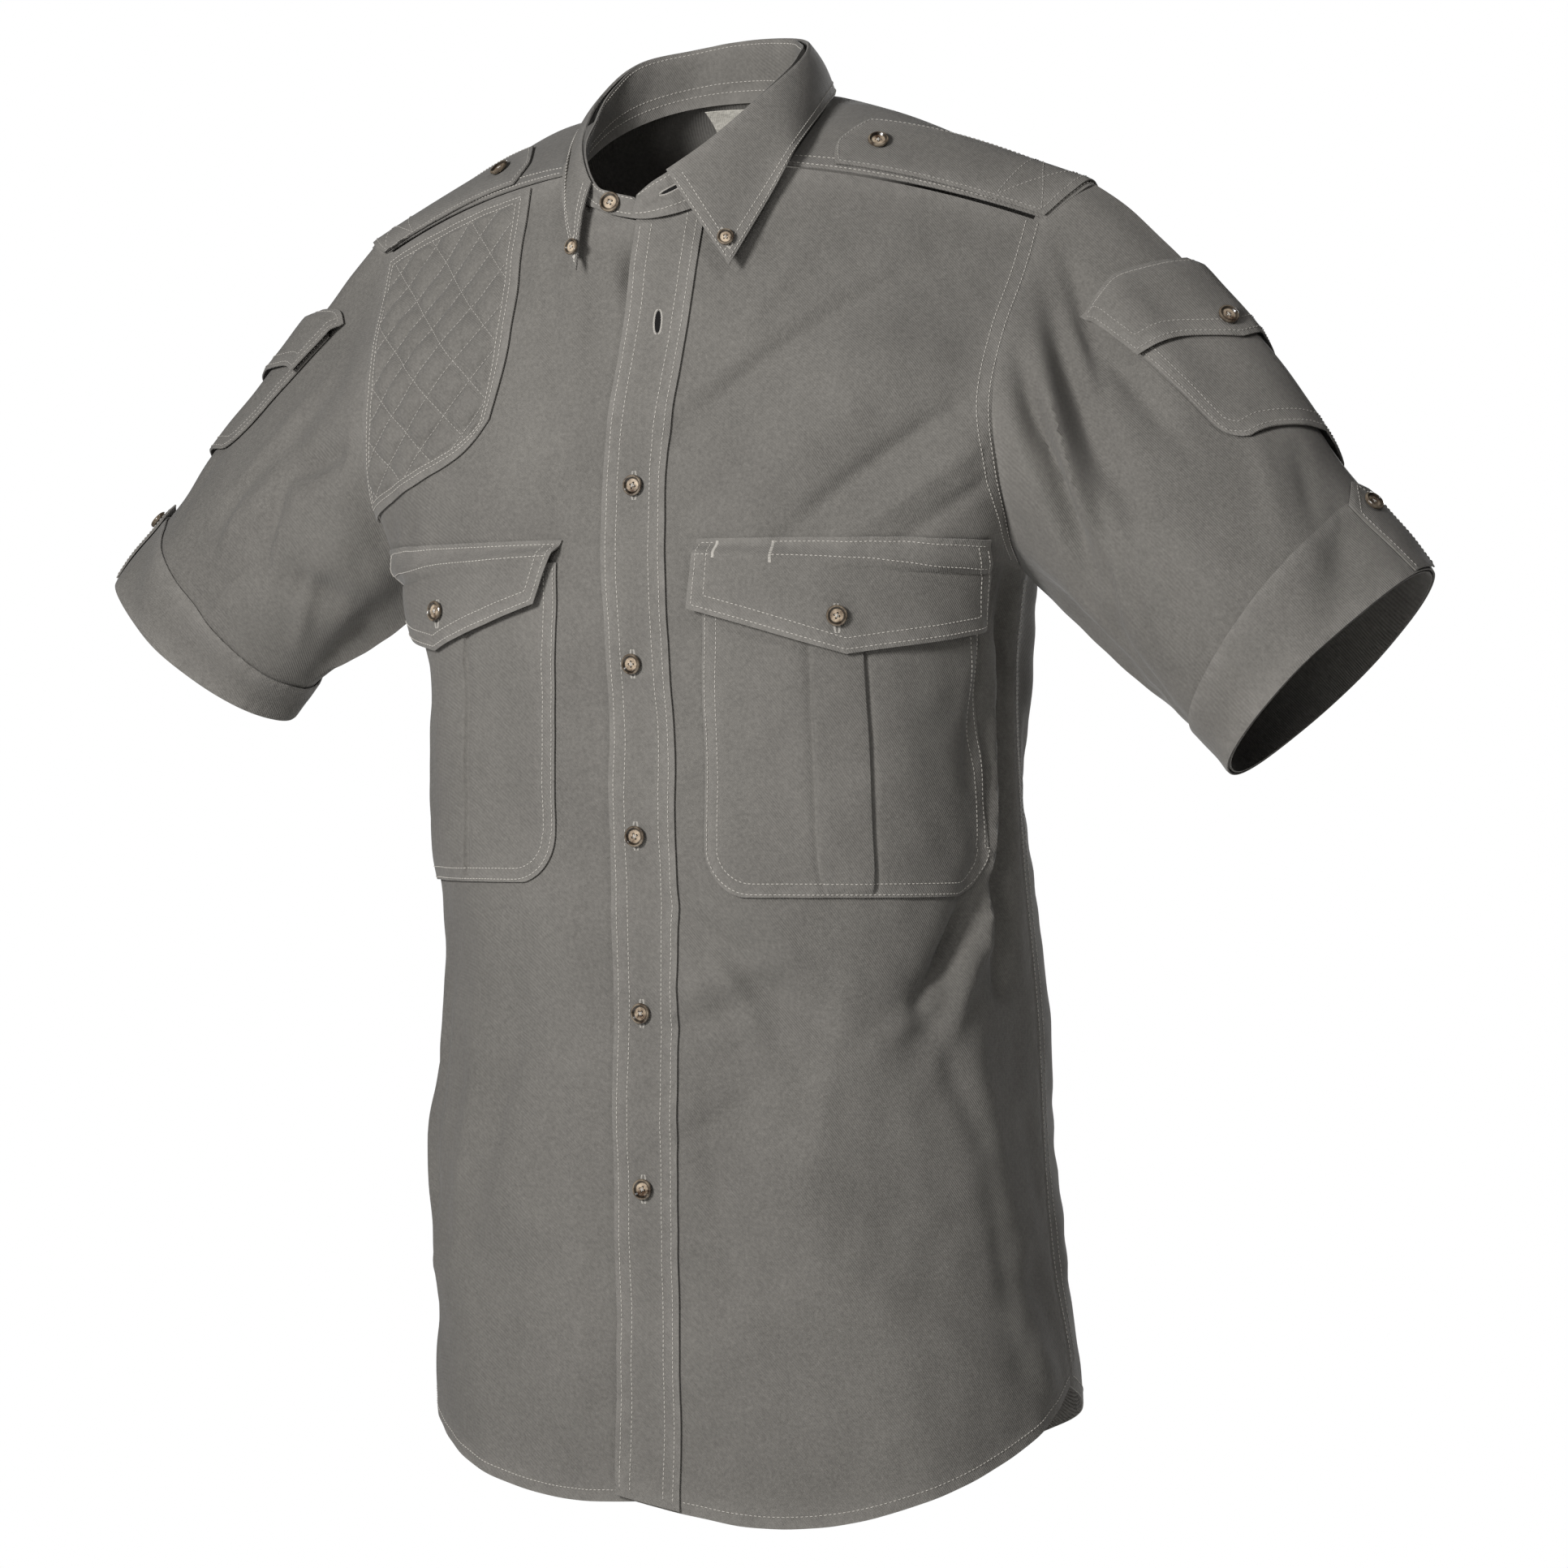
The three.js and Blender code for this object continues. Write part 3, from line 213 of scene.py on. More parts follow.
# Main folds: from across, from up, to across, to up, half width, depth (a trough is negative)
FRONT_FOLDS = [
    (28, -150, 165, -36, 13, -3.5),
    (92, -206, 200, -108, 12, -3.5),
    (60, -186, 186, -68, 13, 3),
    (236, -228, 222, -430, 16, -7),
    (205, -395, 150, -470, 20, -7),
    (172, -430, 215, -560, 17, 7),
    (60, -420, 118, -470, 14, -3.5),
    (38, -402, 72, -450, 12, -3),
    (52, -480, 42, -560, 14, -2.5),
    (120, -560, 200, -575, 16, -4),
    (215, -600, 230, -700, 20, 8),
    (-200, -240, -150, -120, 12, -2.5),
    (-215, -420, -190, -540, 15, -4),
    (-165, -420, -185, -640, 16, 4),
    (-60, -60, -45, -130, 10, -3.5),
]
BACK_FOLDS = [
    (205, -190, 90, -120, 16, -4),
    (-205, -190, -100, -110, 15, -3.5),
    (215, -235, 150, -440, 20, -8),
    (-215, -235, -140, -430, 21, -7),
    (70, -200, 90, -480, 22, 6),
    (-75, -210, -95, -500, 24, 6),
    (0, -260, 10, -600, 24, -6),
    (150, -470, 165, -680, 22, 6),
    (-160, -480, -150, -690, 22, 6),
]
# On a sleeve the first number is degrees round from the top towards the front
SLEEVE_FOLDS = {
    "left": [
        (62, 15, 108, 120, 12, -8),
        (82, 10, 128, 70, 11, -8),
        (42, 20, 62, 75, 11, -5),
        (25, 30, 40, 80, 12, 3),
        (110, 40, 80, 150, 14, 4),
        (30, 165, 55, 180, 9, -3),
        (-60, 20, -110, 110, 14, -6),
        (-100, 40, -75, 150, 15, 5),
        (160, 20, 170, 120, 12, -5),
    ],
    "right": [
        (100, 12, 75, 70, 10, -6),
        (72, 78, 100, 135, 10, 6),
        (88, 80, 92, 150, 13, -7),
        (60, 30, 68, 130, 12, -4),
        (118, 90, 150, 60, 11, -6),
        (-60, 20, -105, 110, 14, -6),
        (-100, 40, -80, 150, 15, 5),
        (165, 20, 172, 110, 12, -5),
    ],
}


# %% [markdown]
# Reading a table between its rows. Straight lines between rows would show as creases in the
# cloth, so the helper draws a smooth curve through them, for many places at once.

# %% Reading a table smoothly
def smooth(t):
    t = np.clip(t, 0, 1)
    return t * t * (3 - 2 * t)


def mix(low, high, t):
    return low + (high - low) * t


def read(chart, key, place, column):
    place = np.asarray(place, float)
    keys, values = chart[key], chart[column]
    last = len(keys) - 1
    i = np.clip(np.searchsorted(keys, place, side="left") - 1, 0, last - 1)
    before, after = np.maximum(i - 1, 0), np.minimum(i + 2, last)
    span = keys[i + 1] - keys[i]
    t = np.clip((place - keys[i]) / span, 0, 1)
    slope_a = (values[i + 1] - values[before]) / (keys[i + 1] - keys[before]) * span
    slope_b = (values[after] - values[i]) / (keys[after] - keys[i]) * span
    t2, t3 = t * t, t * t * t
    return (
        (2 * t3 - 3 * t2 + 1) * values[i]
        + (t3 - 2 * t2 + t) * slope_a
        + (3 * t2 - 2 * t3) * values[i + 1]
        + (t3 - t2) * slope_b
    )


# %% [markdown]
# The body surface. Each height has a rounded-square section, and a point on it is found by the
# distance walked round it from the centre, because a pattern cutter measures cloth that way. A
# pocket placed by that distance keeps its true width when it turns the side of the body.

# %% The body surface
SECTION_STEPS = 120


def section_points(face, row):
    armhole_chart = FRONT_ARMHOLE if face == "front" else BACK_ARMHOLE
    middle = read(TORSO, "z", row, face)
    above = row > ARMPIT
    end_x = np.where(above, read(armhole_chart, "z", row, "x"), read(TORSO, "z", row, "width"))
    end_y = np.where(above, read(armhole_chart, "z", row, "y"), read(TORSO, "z", row, "side"))
    p = np.where(above, read(armhole_chart, "z", row, "p"), armhole_chart["p"][0])
    q = np.where(above, read(armhole_chart, "z", row, "q"), armhole_chart["q"][0])
    rise = smooth((row - ARMPIT) / (YOKE_ROW - ARMPIT))
    drop = (SHOULDER_DROP if face == "front" else BACK_DROP) * rise
    turn = np.linspace(0, math.pi / 2, SECTION_STEPS + 1)[None, :]
    share = np.sin(turn) ** (2 / p[:, None])
    bow = np.maximum(0, 1 - share ** p[:, None]) ** (1 / q[:, None])
    x = end_x[:, None] * share
    y = end_y[:, None] + (middle - end_y)[:, None] * bow
    z = row[:, None] - drop[:, None] * share**SEAM_BOW
    points = np.stack([x, y, z], -1)
    strides = np.linalg.norm(np.diff(points, axis=1), axis=2)
    walked = np.concatenate([np.zeros((len(row), 1)), np.cumsum(strides, axis=1)], axis=1)
    return points, walked


def reach(face, row):
    row = np.asarray(row, float)
    flat, place = np.unique(row.round(3), return_inverse=True)
    walked = section_points(face, flat)[1]
    return walked[:, -1][place].reshape(row.shape)


def body(face, across, row):
    across, row = np.broadcast_arrays(np.asarray(across, float), np.asarray(row, float))
    shape = across.shape
    across, row = across.ravel(), row.ravel()
    points, walked = section_points(face, row)
    total = walked[:, -1]
    away = np.minimum(np.abs(across), total)
    i = np.clip((walked < away[:, None]).sum(axis=1), 1, SECTION_STEPS)
    lines = np.arange(len(row))
    start, end = walked[lines, i - 1], walked[lines, i]
    t = ((away - start) / (end - start))[:, None]
    point = points[lines, i - 1] * (1 - t) + points[lines, i] * t
    point[:, 0] = np.where(across < 0, -point[:, 0], point[:, 0])
    point[:, 0] += read(TORSO, "z", row, "sway") * smooth(away / total)
    return point.reshape(*shape, 3)


def fold_height(folds, across, up, scale=1.0):
    height = np.zeros(np.broadcast(across, up).shape)
    for ax, az, bx, bz, wide, deep in folds:
        ax, bx = ax * scale, bx * scale
        dx, dz = bx - ax, bz - az
        t = np.clip(((across * scale - ax) * dx + (up - az) * dz) / (dx * dx + dz * dz), 0, 1)
        away = np.hypot(across * scale - ax - dx * t, up - az - dz * t)
        ends = 0.25 + 0.75 * np.sin(math.pi * np.clip(t, 0.06, 0.94)) ** 0.7
        height += deep * ends * np.exp(-((away / wide) ** 2))
    return height


CRUMPLE_WAVES = 5
BROAD = dict(size=95.0, height=1.5)
FINE = dict(size=26.0, height=0.3)
CREASE_DEPTH = 1.7


def crumple(across, up, seed, size):
    """Small uneven rise and fall, as a sum of waves in seeded directions, about -1 to 1."""
    chance = np.random.default_rng(seed)
    bent = across + 0.3 * size * np.sin(up / size * 1.7 + seed)
    height = np.zeros(np.shape(across))
    for _ in range(CRUMPLE_WAVES):
        way, start = chance.uniform(0, math.pi), chance.uniform(0, 2 * math.pi)
        length = size * chance.uniform(0.7, 1.6)
        height += np.sin((bent * math.cos(way) + up * math.sin(way)) * 2 * math.pi / length + start)
    return height / CRUMPLE_WAVES**0.5


def unit(vectors):
    return vectors / np.maximum(np.linalg.norm(vectors, axis=-1, keepdims=True), 1e-9)


# Folds fade out towards the side seam and the yoke seam, where the sewing holds the cloth flat
CALM = dict(side=20, top=30, above=6)
NORMAL_STEP = 4.0


def on_body(face, across, row, lift=0.0):
    across, row = np.broadcast_arrays(np.asarray(across, float), np.asarray(row, float))
    step = NORMAL_STEP
    u = body(face, across + step, row) - body(face, across - step, row)
    v = body(face, across, row + step) - body(face, across, row - step)
    normal = unit(np.cross(u, v)) * (1 if face == "front" else -1)
    edge = reach(face, row) - np.abs(across)
    calm = smooth(edge / CALM["side"]) * smooth((YOKE_ROW + CALM["above"] - row) / CALM["top"])
    folds, creases = (FRONT_FOLDS, FRONT_CREASES) if face == "front" else (BACK_FOLDS, BACK_CREASES)
    height = fold_height(folds, across, row) + CREASE_DEPTH * fold_height(creases, across, row)
    height += BROAD["height"] * crumple(across, row, len(face), BROAD["size"])
    height += FINE["height"] * crumple(across, row, 2 * len(face), FINE["size"])
    return body(face, across, row) + normal * (height * calm + lift)[..., None]


# %% [markdown]
# The creases that only the cloth of the picture has. The model keeps the broad folds; these are
# the finer ones that a worn shirt shows: drag lines from the armpit to the collar, the crumple
# over the belly, and the vertical slack at the sides. They are listed one by one, uneven in length,
# depth and spacing, because evenly spread ripples look like a machine made them.

# %% Fine creases
FRONT_CREASES = [
    (232, -232, 217, -440, 8, -6.5),
    (214, -300, 204, -420, 5, 2.4),
    (24, -146, 140, -50, 6, -1.6),
    (36, -128, 150, -34, 7, 1.3),
    (38, -66, 118, -12, 7, -1.4),
    (84, -204, 176, -126, 5, -1.7),
    (120, -206, 204, -138, 6, 1.6),
    (150, -204, 212, -158, 5, -1.6),
    (30, -196, 78, -150, 8, -0.9),
    (207, -386, 156, -450, 6, -4.5),
    (206, -408, 166, -474, 8, 3.2),
    (157, -451, 192, -522, 8, -1.8),
    (172, -430, 215, -560, 17, -2.4),
    (215, -600, 230, -700, 20, -3.2),
    (20, -398, 66, -436, 6, -2.4),
    (24, -442, 84, -426, 6, 1.7),
    (20, -464, 74, -446, 6, -2.0),
    (64, -436, 112, -472, 7, -1.7),
    (18, -524, 62, -500, 7, -1.5),
    (-68, -424, -122, -588, 9, -2.0),
    (-94, -430, -148, -600, 9, 1.6),
    (-160, -470, -186, -640, 8, -1.7),
    (126, -596, 214, -628, 9, -2.8),
    (196, -636, 226, -668, 8, -1.4),
    (60, -95, 92, -40, 6, 1.1),
    (206, -232, 188, -330, 6, -2.6),
    (219, -262, 206, -420, 5, 2.2),
    (196, -370, 172, -452, 6, -2.4),
    (178, -440, 132, -470, 7, 2.0),
    (150, -458, 104, -446, 6, -1.5),
    (66, -402, 100, -432, 5, 1.2),
    (30, -412, 58, -470, 5, -1.4),
    (46, -425, 84, -500, 7, 1.3),
    (34, -500, 52, -600, 8, -1.5),
    (90, -520, 150, -545, 8, 1.2),
    (196, -520, 206, -640, 8, -0.8),
    (-186, -400, -172, -520, 5, -1.8),
    (-196, -430, -176, -600, 6, 2.0),
    (-150, -440, -168, -560, 6, -1.5),
    (-60, -420, -90, -480, 7, 1.2),
    (-40, -440, -60, -560, 8, -1.2),
    (-182, -226, -150, -186, 6, -1.2),
    (-70, -40, -56, -120, 5, 1.0),
    (-52, -150, -40, -230, 6, -0.9),
    (120, -420, 90, -560, 9, 0.9),
    (-110, -410, -126, -520, 8, 1.0),
]
BACK_CREASES = [
    (60, -150, 95, -330, 9, 1.8),
    (-55, -170, -90, -360, 8, 2.0),
    (20, -280, -12, -520, 10, -2.0),
    (150, -230, 120, -420, 7, -2.4),
    (-162, -240, -126, -400, 7, -2.2),
    (190, -300, 150, -470, 6, 1.8),
    (-186, -320, -160, -500, 7, 2.0),
    (40, -420, 80, -600, 9, 1.5),
    (-60, -430, -40, -620, 10, -1.6),
    (180, -540, 190, -660, 8, -1.8),
    (-190, -560, -176, -650, 8, 1.6),
    (170, -170, 130, -150, 6, -1.4),
    (-176, -168, -120, -140, 6, 1.5),
]
SLEEVE_CREASES = {
    "left": [
        (46, 6, 92, 66, 6, -3.6),
        (56, 2, 108, 62, 6, 2.6),
        (30, 12, 66, 52, 5, -2.6),
        (72, 2, 128, 66, 7, -3.4),
        (100, 70, 150, 96, 6, -1.8),
        (74, 12, 118, 88, 5, 2.0),
        (48, 30, 60, 96, 5, -1.6),
        (96, 60, 132, 120, 6, -1.8),
        (30, 110, 58, 150, 7, 1.2),
        (20, 130, 44, 158, 6, -1.2),
        (-50, 30, -84, 120, 6, -1.8),
        (-76, 40, -120, 130, 7, 2.0),
        (140, 60, 160, 150, 7, -1.6),
        (-30, 90, -56, 150, 7, 1.2),
    ],
    "right": [
        (96, 20, 78, 66, 5, -1.8),
        (80, 70, 112, 108, 4, -2.4),
        (66, 86, 92, 140, 5, 1.8),
        (50, 40, 62, 120, 6, 1.4),
        (106, 100, 96, 150, 6, -1.8),
        (126, 70, 148, 120, 6, 1.6),
        (-54, 30, -90, 116, 6, -1.8),
        (-80, 44, -112, 130, 7, 2.0),
        (20, 110, 44, 150, 7, -1.1),
        (160, 50, 174, 140, 7, -1.4),
    ],
}


# %% [markdown]
# The seams. The neck seam is a tilted ring, the front panels stop at it and at the yoke seam,
# and the hem is a shirt tail. Each helper gives one of these lines for many places at once.

# %% Seam lines
def neck_ring(degrees):
    turn = np.radians(degrees)
    power = 2 / NECK["squareness"]
    middle = (NECK["front"] + NECK["back"]) / 2
    half = (NECK["back"] - NECK["front"]) / 2
    x = NECK["width"] * np.sign(np.sin(turn)) * np.abs(np.sin(turn)) ** power
    y = middle - half * np.sign(np.cos(turn)) * np.abs(np.cos(turn)) ** power
    t = np.maximum(0, (y - NECK["front"]) / (NECK["back"] - NECK["front"]))
    return np.stack([x, y, mix(NECK["front_z"], NECK["back_z"], t ** NECK["rise"])], -1)


NECK_HALF = float(neck_ring(NECK_SEAM_TURN)[0])


def front_top(across):
    away = np.abs(body("front", across, -20.0)[..., 0])
    turn = np.degrees(np.arcsin(np.minimum(1, away / NECK["width"]) ** (NECK["squareness"] / 2)))
    drop = SHOULDER_DROP * (away / SHOULDER_HALF) ** SEAM_BOW
    return np.where(away >= NECK_HALF, YOKE_ROW, neck_ring(turn)[..., 2] + drop)


def front_hem(side, share):
    return read(FRONT_HEM, "share", np.clip(share, 0, 1), side)


def back_hem(share):
    return read(BACK_HEM, "share", np.clip(share, 0, 1), "z")


ROWS_BELOW = 13
ROWS_ABOVE = 10


def panel_row(hem, top, step):
    low = mix(hem, ARMPIT, step / ROWS_BELOW)
    high = mix(ARMPIT, top, (np.maximum(0, step - ROWS_BELOW) / ROWS_ABOVE) ** 1.5)
    return np.where(step <= ROWS_BELOW, low, high)


RIGHT_EDGE = 17
UNDERLAP = dict(depth=2.6, start=44, width=20)
OPEN_BUTTON = dict(row=-87, across=1.2, room=3, span=40, fade=1.4)
# The right front sinks back at the neck, which opens a dark gap beside the band
NECK_GAP = dict(across=-10, wide=6, row=-58, tall=13, depth=9)


def front_edge(side, row):
    if side == "left":
        return read(LEFT_EDGE, "z", row, "across")
    return np.full(np.shape(row), float(RIGHT_EDGE))


def front_point(side, across, row, lift=0.0):
    if side == "left":
        return on_body("front", across, row, lift)
    near_button = smooth(OPEN_BUTTON["fade"] - np.abs(row - OPEN_BUTTON["row"]) / OPEN_BUTTON["span"])
    depth = UNDERLAP["depth"] + OPEN_BUTTON["room"] * near_button
    under = depth * smooth((across + UNDERLAP["start"]) / UNDERLAP["width"])
    from_gap = (across - NECK_GAP["across"]) / NECK_GAP["wide"]
    above_gap = (row - NECK_GAP["row"]) / NECK_GAP["tall"]
    under = under + NECK_GAP["depth"] * np.exp(-(from_gap**2) - above_gap**2)
    return on_body("front", across, row, lift - under)


# %% [markdown]
# From grids to cloth. Every sewn piece here is a grid of points made into a thin closed wall: the
# grid is its face, a copy moved in along the normals is its wrong side, and strips close the rims.
# A Solidify modifier could do the same, but a wall built at once can also thin out at its edges,
# as a turned and pressed edge does.

# %% Walls of cloth
EDGE_SHARE = 0.35
SEAM_REACH = 9.0
FOLD_ANGLE = 50
made = {}


def grid_normals(grid, closed, flip):
    if closed:
        across = np.roll(grid, -1, 1) - np.roll(grid, 1, 1)
    else:
        across = np.gradient(grid, axis=1)
    normals = unit(np.cross(across, np.gradient(grid, axis=0)))
    return -normals if flip else normals


def add_piece(name, mesh, material, node=None):
    """Put a finished mesh in the scene, on the model's one body and in place of its solid."""
    mesh.materials.append(material)
    piece = bpy.data.objects.new(name, mesh)
    bpy.context.scene.collection.objects.link(piece)
    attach(piece, "root")
    if node:
        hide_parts(node)
    made[name] = piece
    return piece


def new_piece(name, points, faces, material, node=None):
    mesh = bpy.data.meshes.new(name)
    mesh.vertices.add(len(points))
    mesh.vertices.foreach_set("co", (np.asarray(points) * MM).ravel())
    sides = faces.shape[1]
    mesh.loops.add(faces.size)
    mesh.loops.foreach_set("vertex_index", faces.astype(np.int32).ravel())
    mesh.polygons.add(len(faces))
    mesh.polygons.foreach_set("loop_start", np.arange(0, faces.size, sides, dtype=np.int32))
    mesh.update(calc_edges=True)
    mesh.validate()
    mesh.shade_smooth()
    mesh.set_sharp_from_angle(angle=math.radians(FOLD_ANGLE))
    return add_piece(name, mesh, material, node)


def wall(name, grid, thickness, material, node=None, closed=False, flip=False):
    rows, columns = grid.shape[:2]
    normals = grid_normals(grid, closed, flip)
    depth = np.full((rows, columns), float(thickness))
    outer = grid.copy()
    rim = np.zeros((rows, columns))
    rim[[0, -1], :] = 1
    if not closed:
        rim[:, [0, -1]] = 1
    outer -= normals * (rim * thickness * EDGE_SHARE)[..., None]
    depth -= rim * thickness * EDGE_SHARE
    inner = outer - normals * depth[..., None]
    points = np.concatenate([outer.reshape(-1, 3), inner.reshape(-1, 3)])
    index = np.arange(rows * columns).reshape(rows, columns)
    if closed:
        index = np.concatenate([index, index[:, :1]], axis=1)
    a, b, c, d = index[:-1, :-1], index[:-1, 1:], index[1:, 1:], index[1:, :-1]
    far = rows * columns
    quads = [
        np.stack([a, b, c, d], -1).reshape(-1, 4),
        np.stack([a + far, d + far, c + far, b + far], -1).reshape(-1, 4),
    ]

    def rim_quads(start, end):
        return np.stack([end, start, start + far, end + far], -1).reshape(-1, 4)

    quads.append(rim_quads(index[0, :-1], index[0, 1:]))
    quads.append(rim_quads(index[-1, 1:], index[-1, :-1]))
    if not closed:
        quads.append(rim_quads(index[1:, 0], index[:-1, 0]))
        quads.append(rim_quads(index[:-1, -1], index[1:, -1]))
    quads = np.concatenate(quads)
    if flip:
        quads = quads[:, ::-1]
    piece = new_piece(name, points, quads, material, node)
    add_seam_mask(piece, grid, closed)
    return piece


def add_seam_mask(piece, grid, closed):
    """How near each point is to its piece's border, from 1 at the border to 0 well inside."""
    rows, columns = grid.shape[:2]
    along = np.linalg.norm(np.diff(grid, axis=0), axis=2)
    up = np.concatenate([np.zeros((1, columns)), np.cumsum(along, 0)])
    border = np.minimum(up, up[-1:] - up)
    if not closed:
        over = np.linalg.norm(np.diff(grid, axis=1), axis=2)
        out = np.concatenate([np.zeros((rows, 1)), np.cumsum(over, 1)], axis=1)
        border = np.minimum(border, np.minimum(out, out[:, -1:] - out))
    near = np.exp(-((border / SEAM_REACH) ** 1.5)).ravel()
    mask = piece.data.attributes.new("seam", "FLOAT", "POINT")
    mask.data.foreach_set("value", np.concatenate([near, near]).astype(np.float32))


# %% [markdown]
# Cloth colour and weave. Cotton twill has fine slanting ribs, a mottled dye and paler, rubbed
# edges. Each effect is one node group with named sockets, so the cloth, the thread and the label
# can share them with their own values. Everything reads object coordinates in metres, because
# pieces have no UV maps and the ribs must keep one size all over the shirt.

# %% Node group helper
def node_group(name, inputs, outputs):
    group = bpy.data.node_groups.new(name, "ShaderNodeTree")
    for label, kind, value in inputs:
        socket = group.interface.new_socket(name=label, in_out="INPUT", socket_type=kind)
        if value is not None:
            socket.default_value = value
    for label, kind in outputs:
        group.interface.new_socket(name=label, in_out="OUTPUT", socket_type=kind)
    entry = group.nodes.new("NodeGroupInput")
    leave = group.nodes.new("NodeGroupOutput")
    return group, entry, leave


def math_node(tree, operation, first, second):
    node = tree.nodes.new("ShaderNodeMath")
    node.operation = operation
    for socket, value in zip(node.inputs, (first, second)):
        if isinstance(value, (int, float)):
            socket.default_value = value
        else:
            tree.links.new(value, socket)
    return node.outputs[0]


def noise_node(tree, place, scale, detail, roughness=0.5):
    node = tree.nodes.new("ShaderNodeTexNoise")
    node.inputs["Detail"].default_value = detail
    node.inputs["Roughness"].default_value = roughness
    tree.links.new(place, node.inputs["Vector"])
    if isinstance(scale, (int, float)):
        node.inputs["Scale"].default_value = scale
    else:
        tree.links.new(scale, node.inputs["Scale"])
    return node.outputs["Fac"]


def mix_colours(tree, share, first, second, blend="MIX"):
    node = tree.nodes.new("ShaderNodeMix")
    node.data_type = "RGBA"
    node.blend_type = blend
    for label, value in (("Factor", share), ("A", first), ("B", second)):
        if isinstance(value, (int, float)):
            node.inputs[label].default_value = value
        else:
            tree.links.new(value, node.inputs[label])
    return node.outputs["Result"]


# %% Weave, dye and seam wear
VALUE = "NodeSocketFloat"
VECTOR = "NodeSocketVector"
COLOUR = "NodeSocketColor"
YARN_SHARE = 0.7
PATCH_SHARE = 0.35
FLECK_SHARE = 0.65


def twill_group():
    group, entry, leave = node_group(
        "twill_ribs",
        [("Place", VECTOR, None), ("Rib Scale", VALUE, 330.0), ("Waver", VALUE, 1.2)],
        [("Height", VALUE)],
    )
    ribs = group.nodes.new("ShaderNodeTexWave")
    ribs.bands_direction = "DIAGONAL"
    ribs.inputs["Detail"].default_value = 2
    ribs.inputs["Detail Scale"].default_value = 0.35
    group.links.new(entry.outputs["Place"], ribs.inputs["Vector"])
    group.links.new(entry.outputs["Rib Scale"], ribs.inputs["Scale"])
    group.links.new(entry.outputs["Waver"], ribs.inputs["Distortion"])
    yarn = noise_node(group, entry.outputs["Place"], 900.0, 2)
    height = math_node(group, "ADD", ribs.outputs["Fac"], math_node(group, "MULTIPLY", yarn, YARN_SHARE))
    group.links.new(height, leave.inputs["Height"])
    return group


def dye_group():
    group, entry, leave = node_group(
        "mottled_dye",
        [
            ("Place", VECTOR, None),
            ("Dark", COLOUR, (0.1, 0.1, 0.09, 1)),
            ("Light", COLOUR, (0.16, 0.15, 0.14, 1)),
            ("Patch Scale", VALUE, 14.0),
            ("Fleck Scale", VALUE, 520.0),
        ],
        [("Color", COLOUR)],
    )
    patches = noise_node(group, entry.outputs["Place"], entry.outputs["Patch Scale"], 4, 0.6)
    flecks = noise_node(group, entry.outputs["Place"], entry.outputs["Fleck Scale"], 3, 0.7)
    patch_part = math_node(group, "MULTIPLY", patches, PATCH_SHARE)
    fleck_part = math_node(group, "MULTIPLY", flecks, FLECK_SHARE)
    share = math_node(group, "ADD", patch_part, fleck_part)
    dyed = mix_colours(group, share, entry.outputs["Dark"], entry.outputs["Light"])
    group.links.new(dyed, leave.inputs["Color"])
    return group


def wear_group():
    group, entry, leave = node_group(
        "rubbed_seams",
        [
            ("Place", VECTOR, None),
            ("Mask", VALUE, 0.0),
            ("Color", COLOUR, (0.1, 0.1, 0.09, 1)),
            ("Rubbed", COLOUR, (0.2, 0.2, 0.19, 1)),
            ("Amount", VALUE, 0.35),
        ],
        [("Color", COLOUR), ("Pucker", VALUE)],
    )
    lumps = noise_node(group, entry.outputs["Place"], 120.0, 3)
    rub = math_node(group, "MULTIPLY", entry.outputs["Mask"], lumps)
    rub = math_node(group, "MULTIPLY", rub, entry.outputs["Amount"])
    worn = mix_colours(group, rub, entry.outputs["Color"], entry.outputs["Rubbed"])
    group.links.new(worn, leave.inputs["Color"])
    pucker = math_node(group, "MULTIPLY", entry.outputs["Mask"], lumps)
    group.links.new(pucker, leave.inputs["Pucker"])
    return group


TWILL = twill_group()
DYE = dye_group()
WEAR = wear_group()


# %% [markdown]
# Materials. Each one is a Principled BSDF whose colour and bump come from the groups. Sheen gives
# the cloth the soft pale edge that brushed cotton has where it turns away from the eye, which a
# plain rough surface lacks.

# %% Cloth, thread and label
def place_group(tree, group, place, values):
    node = tree.nodes.new("ShaderNodeGroup")
    node.node_tree = group
    tree.links.new(place, node.inputs["Place"])
    for label, value in values.items():
        node.inputs[label].default_value = value
    return node


def bump(tree, height, distance, strength=1.0, normal=None):
    node = tree.nodes.new("ShaderNodeBump")
    node.inputs["Distance"].default_value = distance
    node.inputs["Strength"].default_value = strength
    tree.links.new(height, node.inputs["Height"])
    if normal:
        tree.links.new(normal, node.inputs["Normal"])
    return node.outputs["Normal"]


PUCKER = dict(depth=0.0022, strength=0.8)
RIB_STRENGTH = 0.7


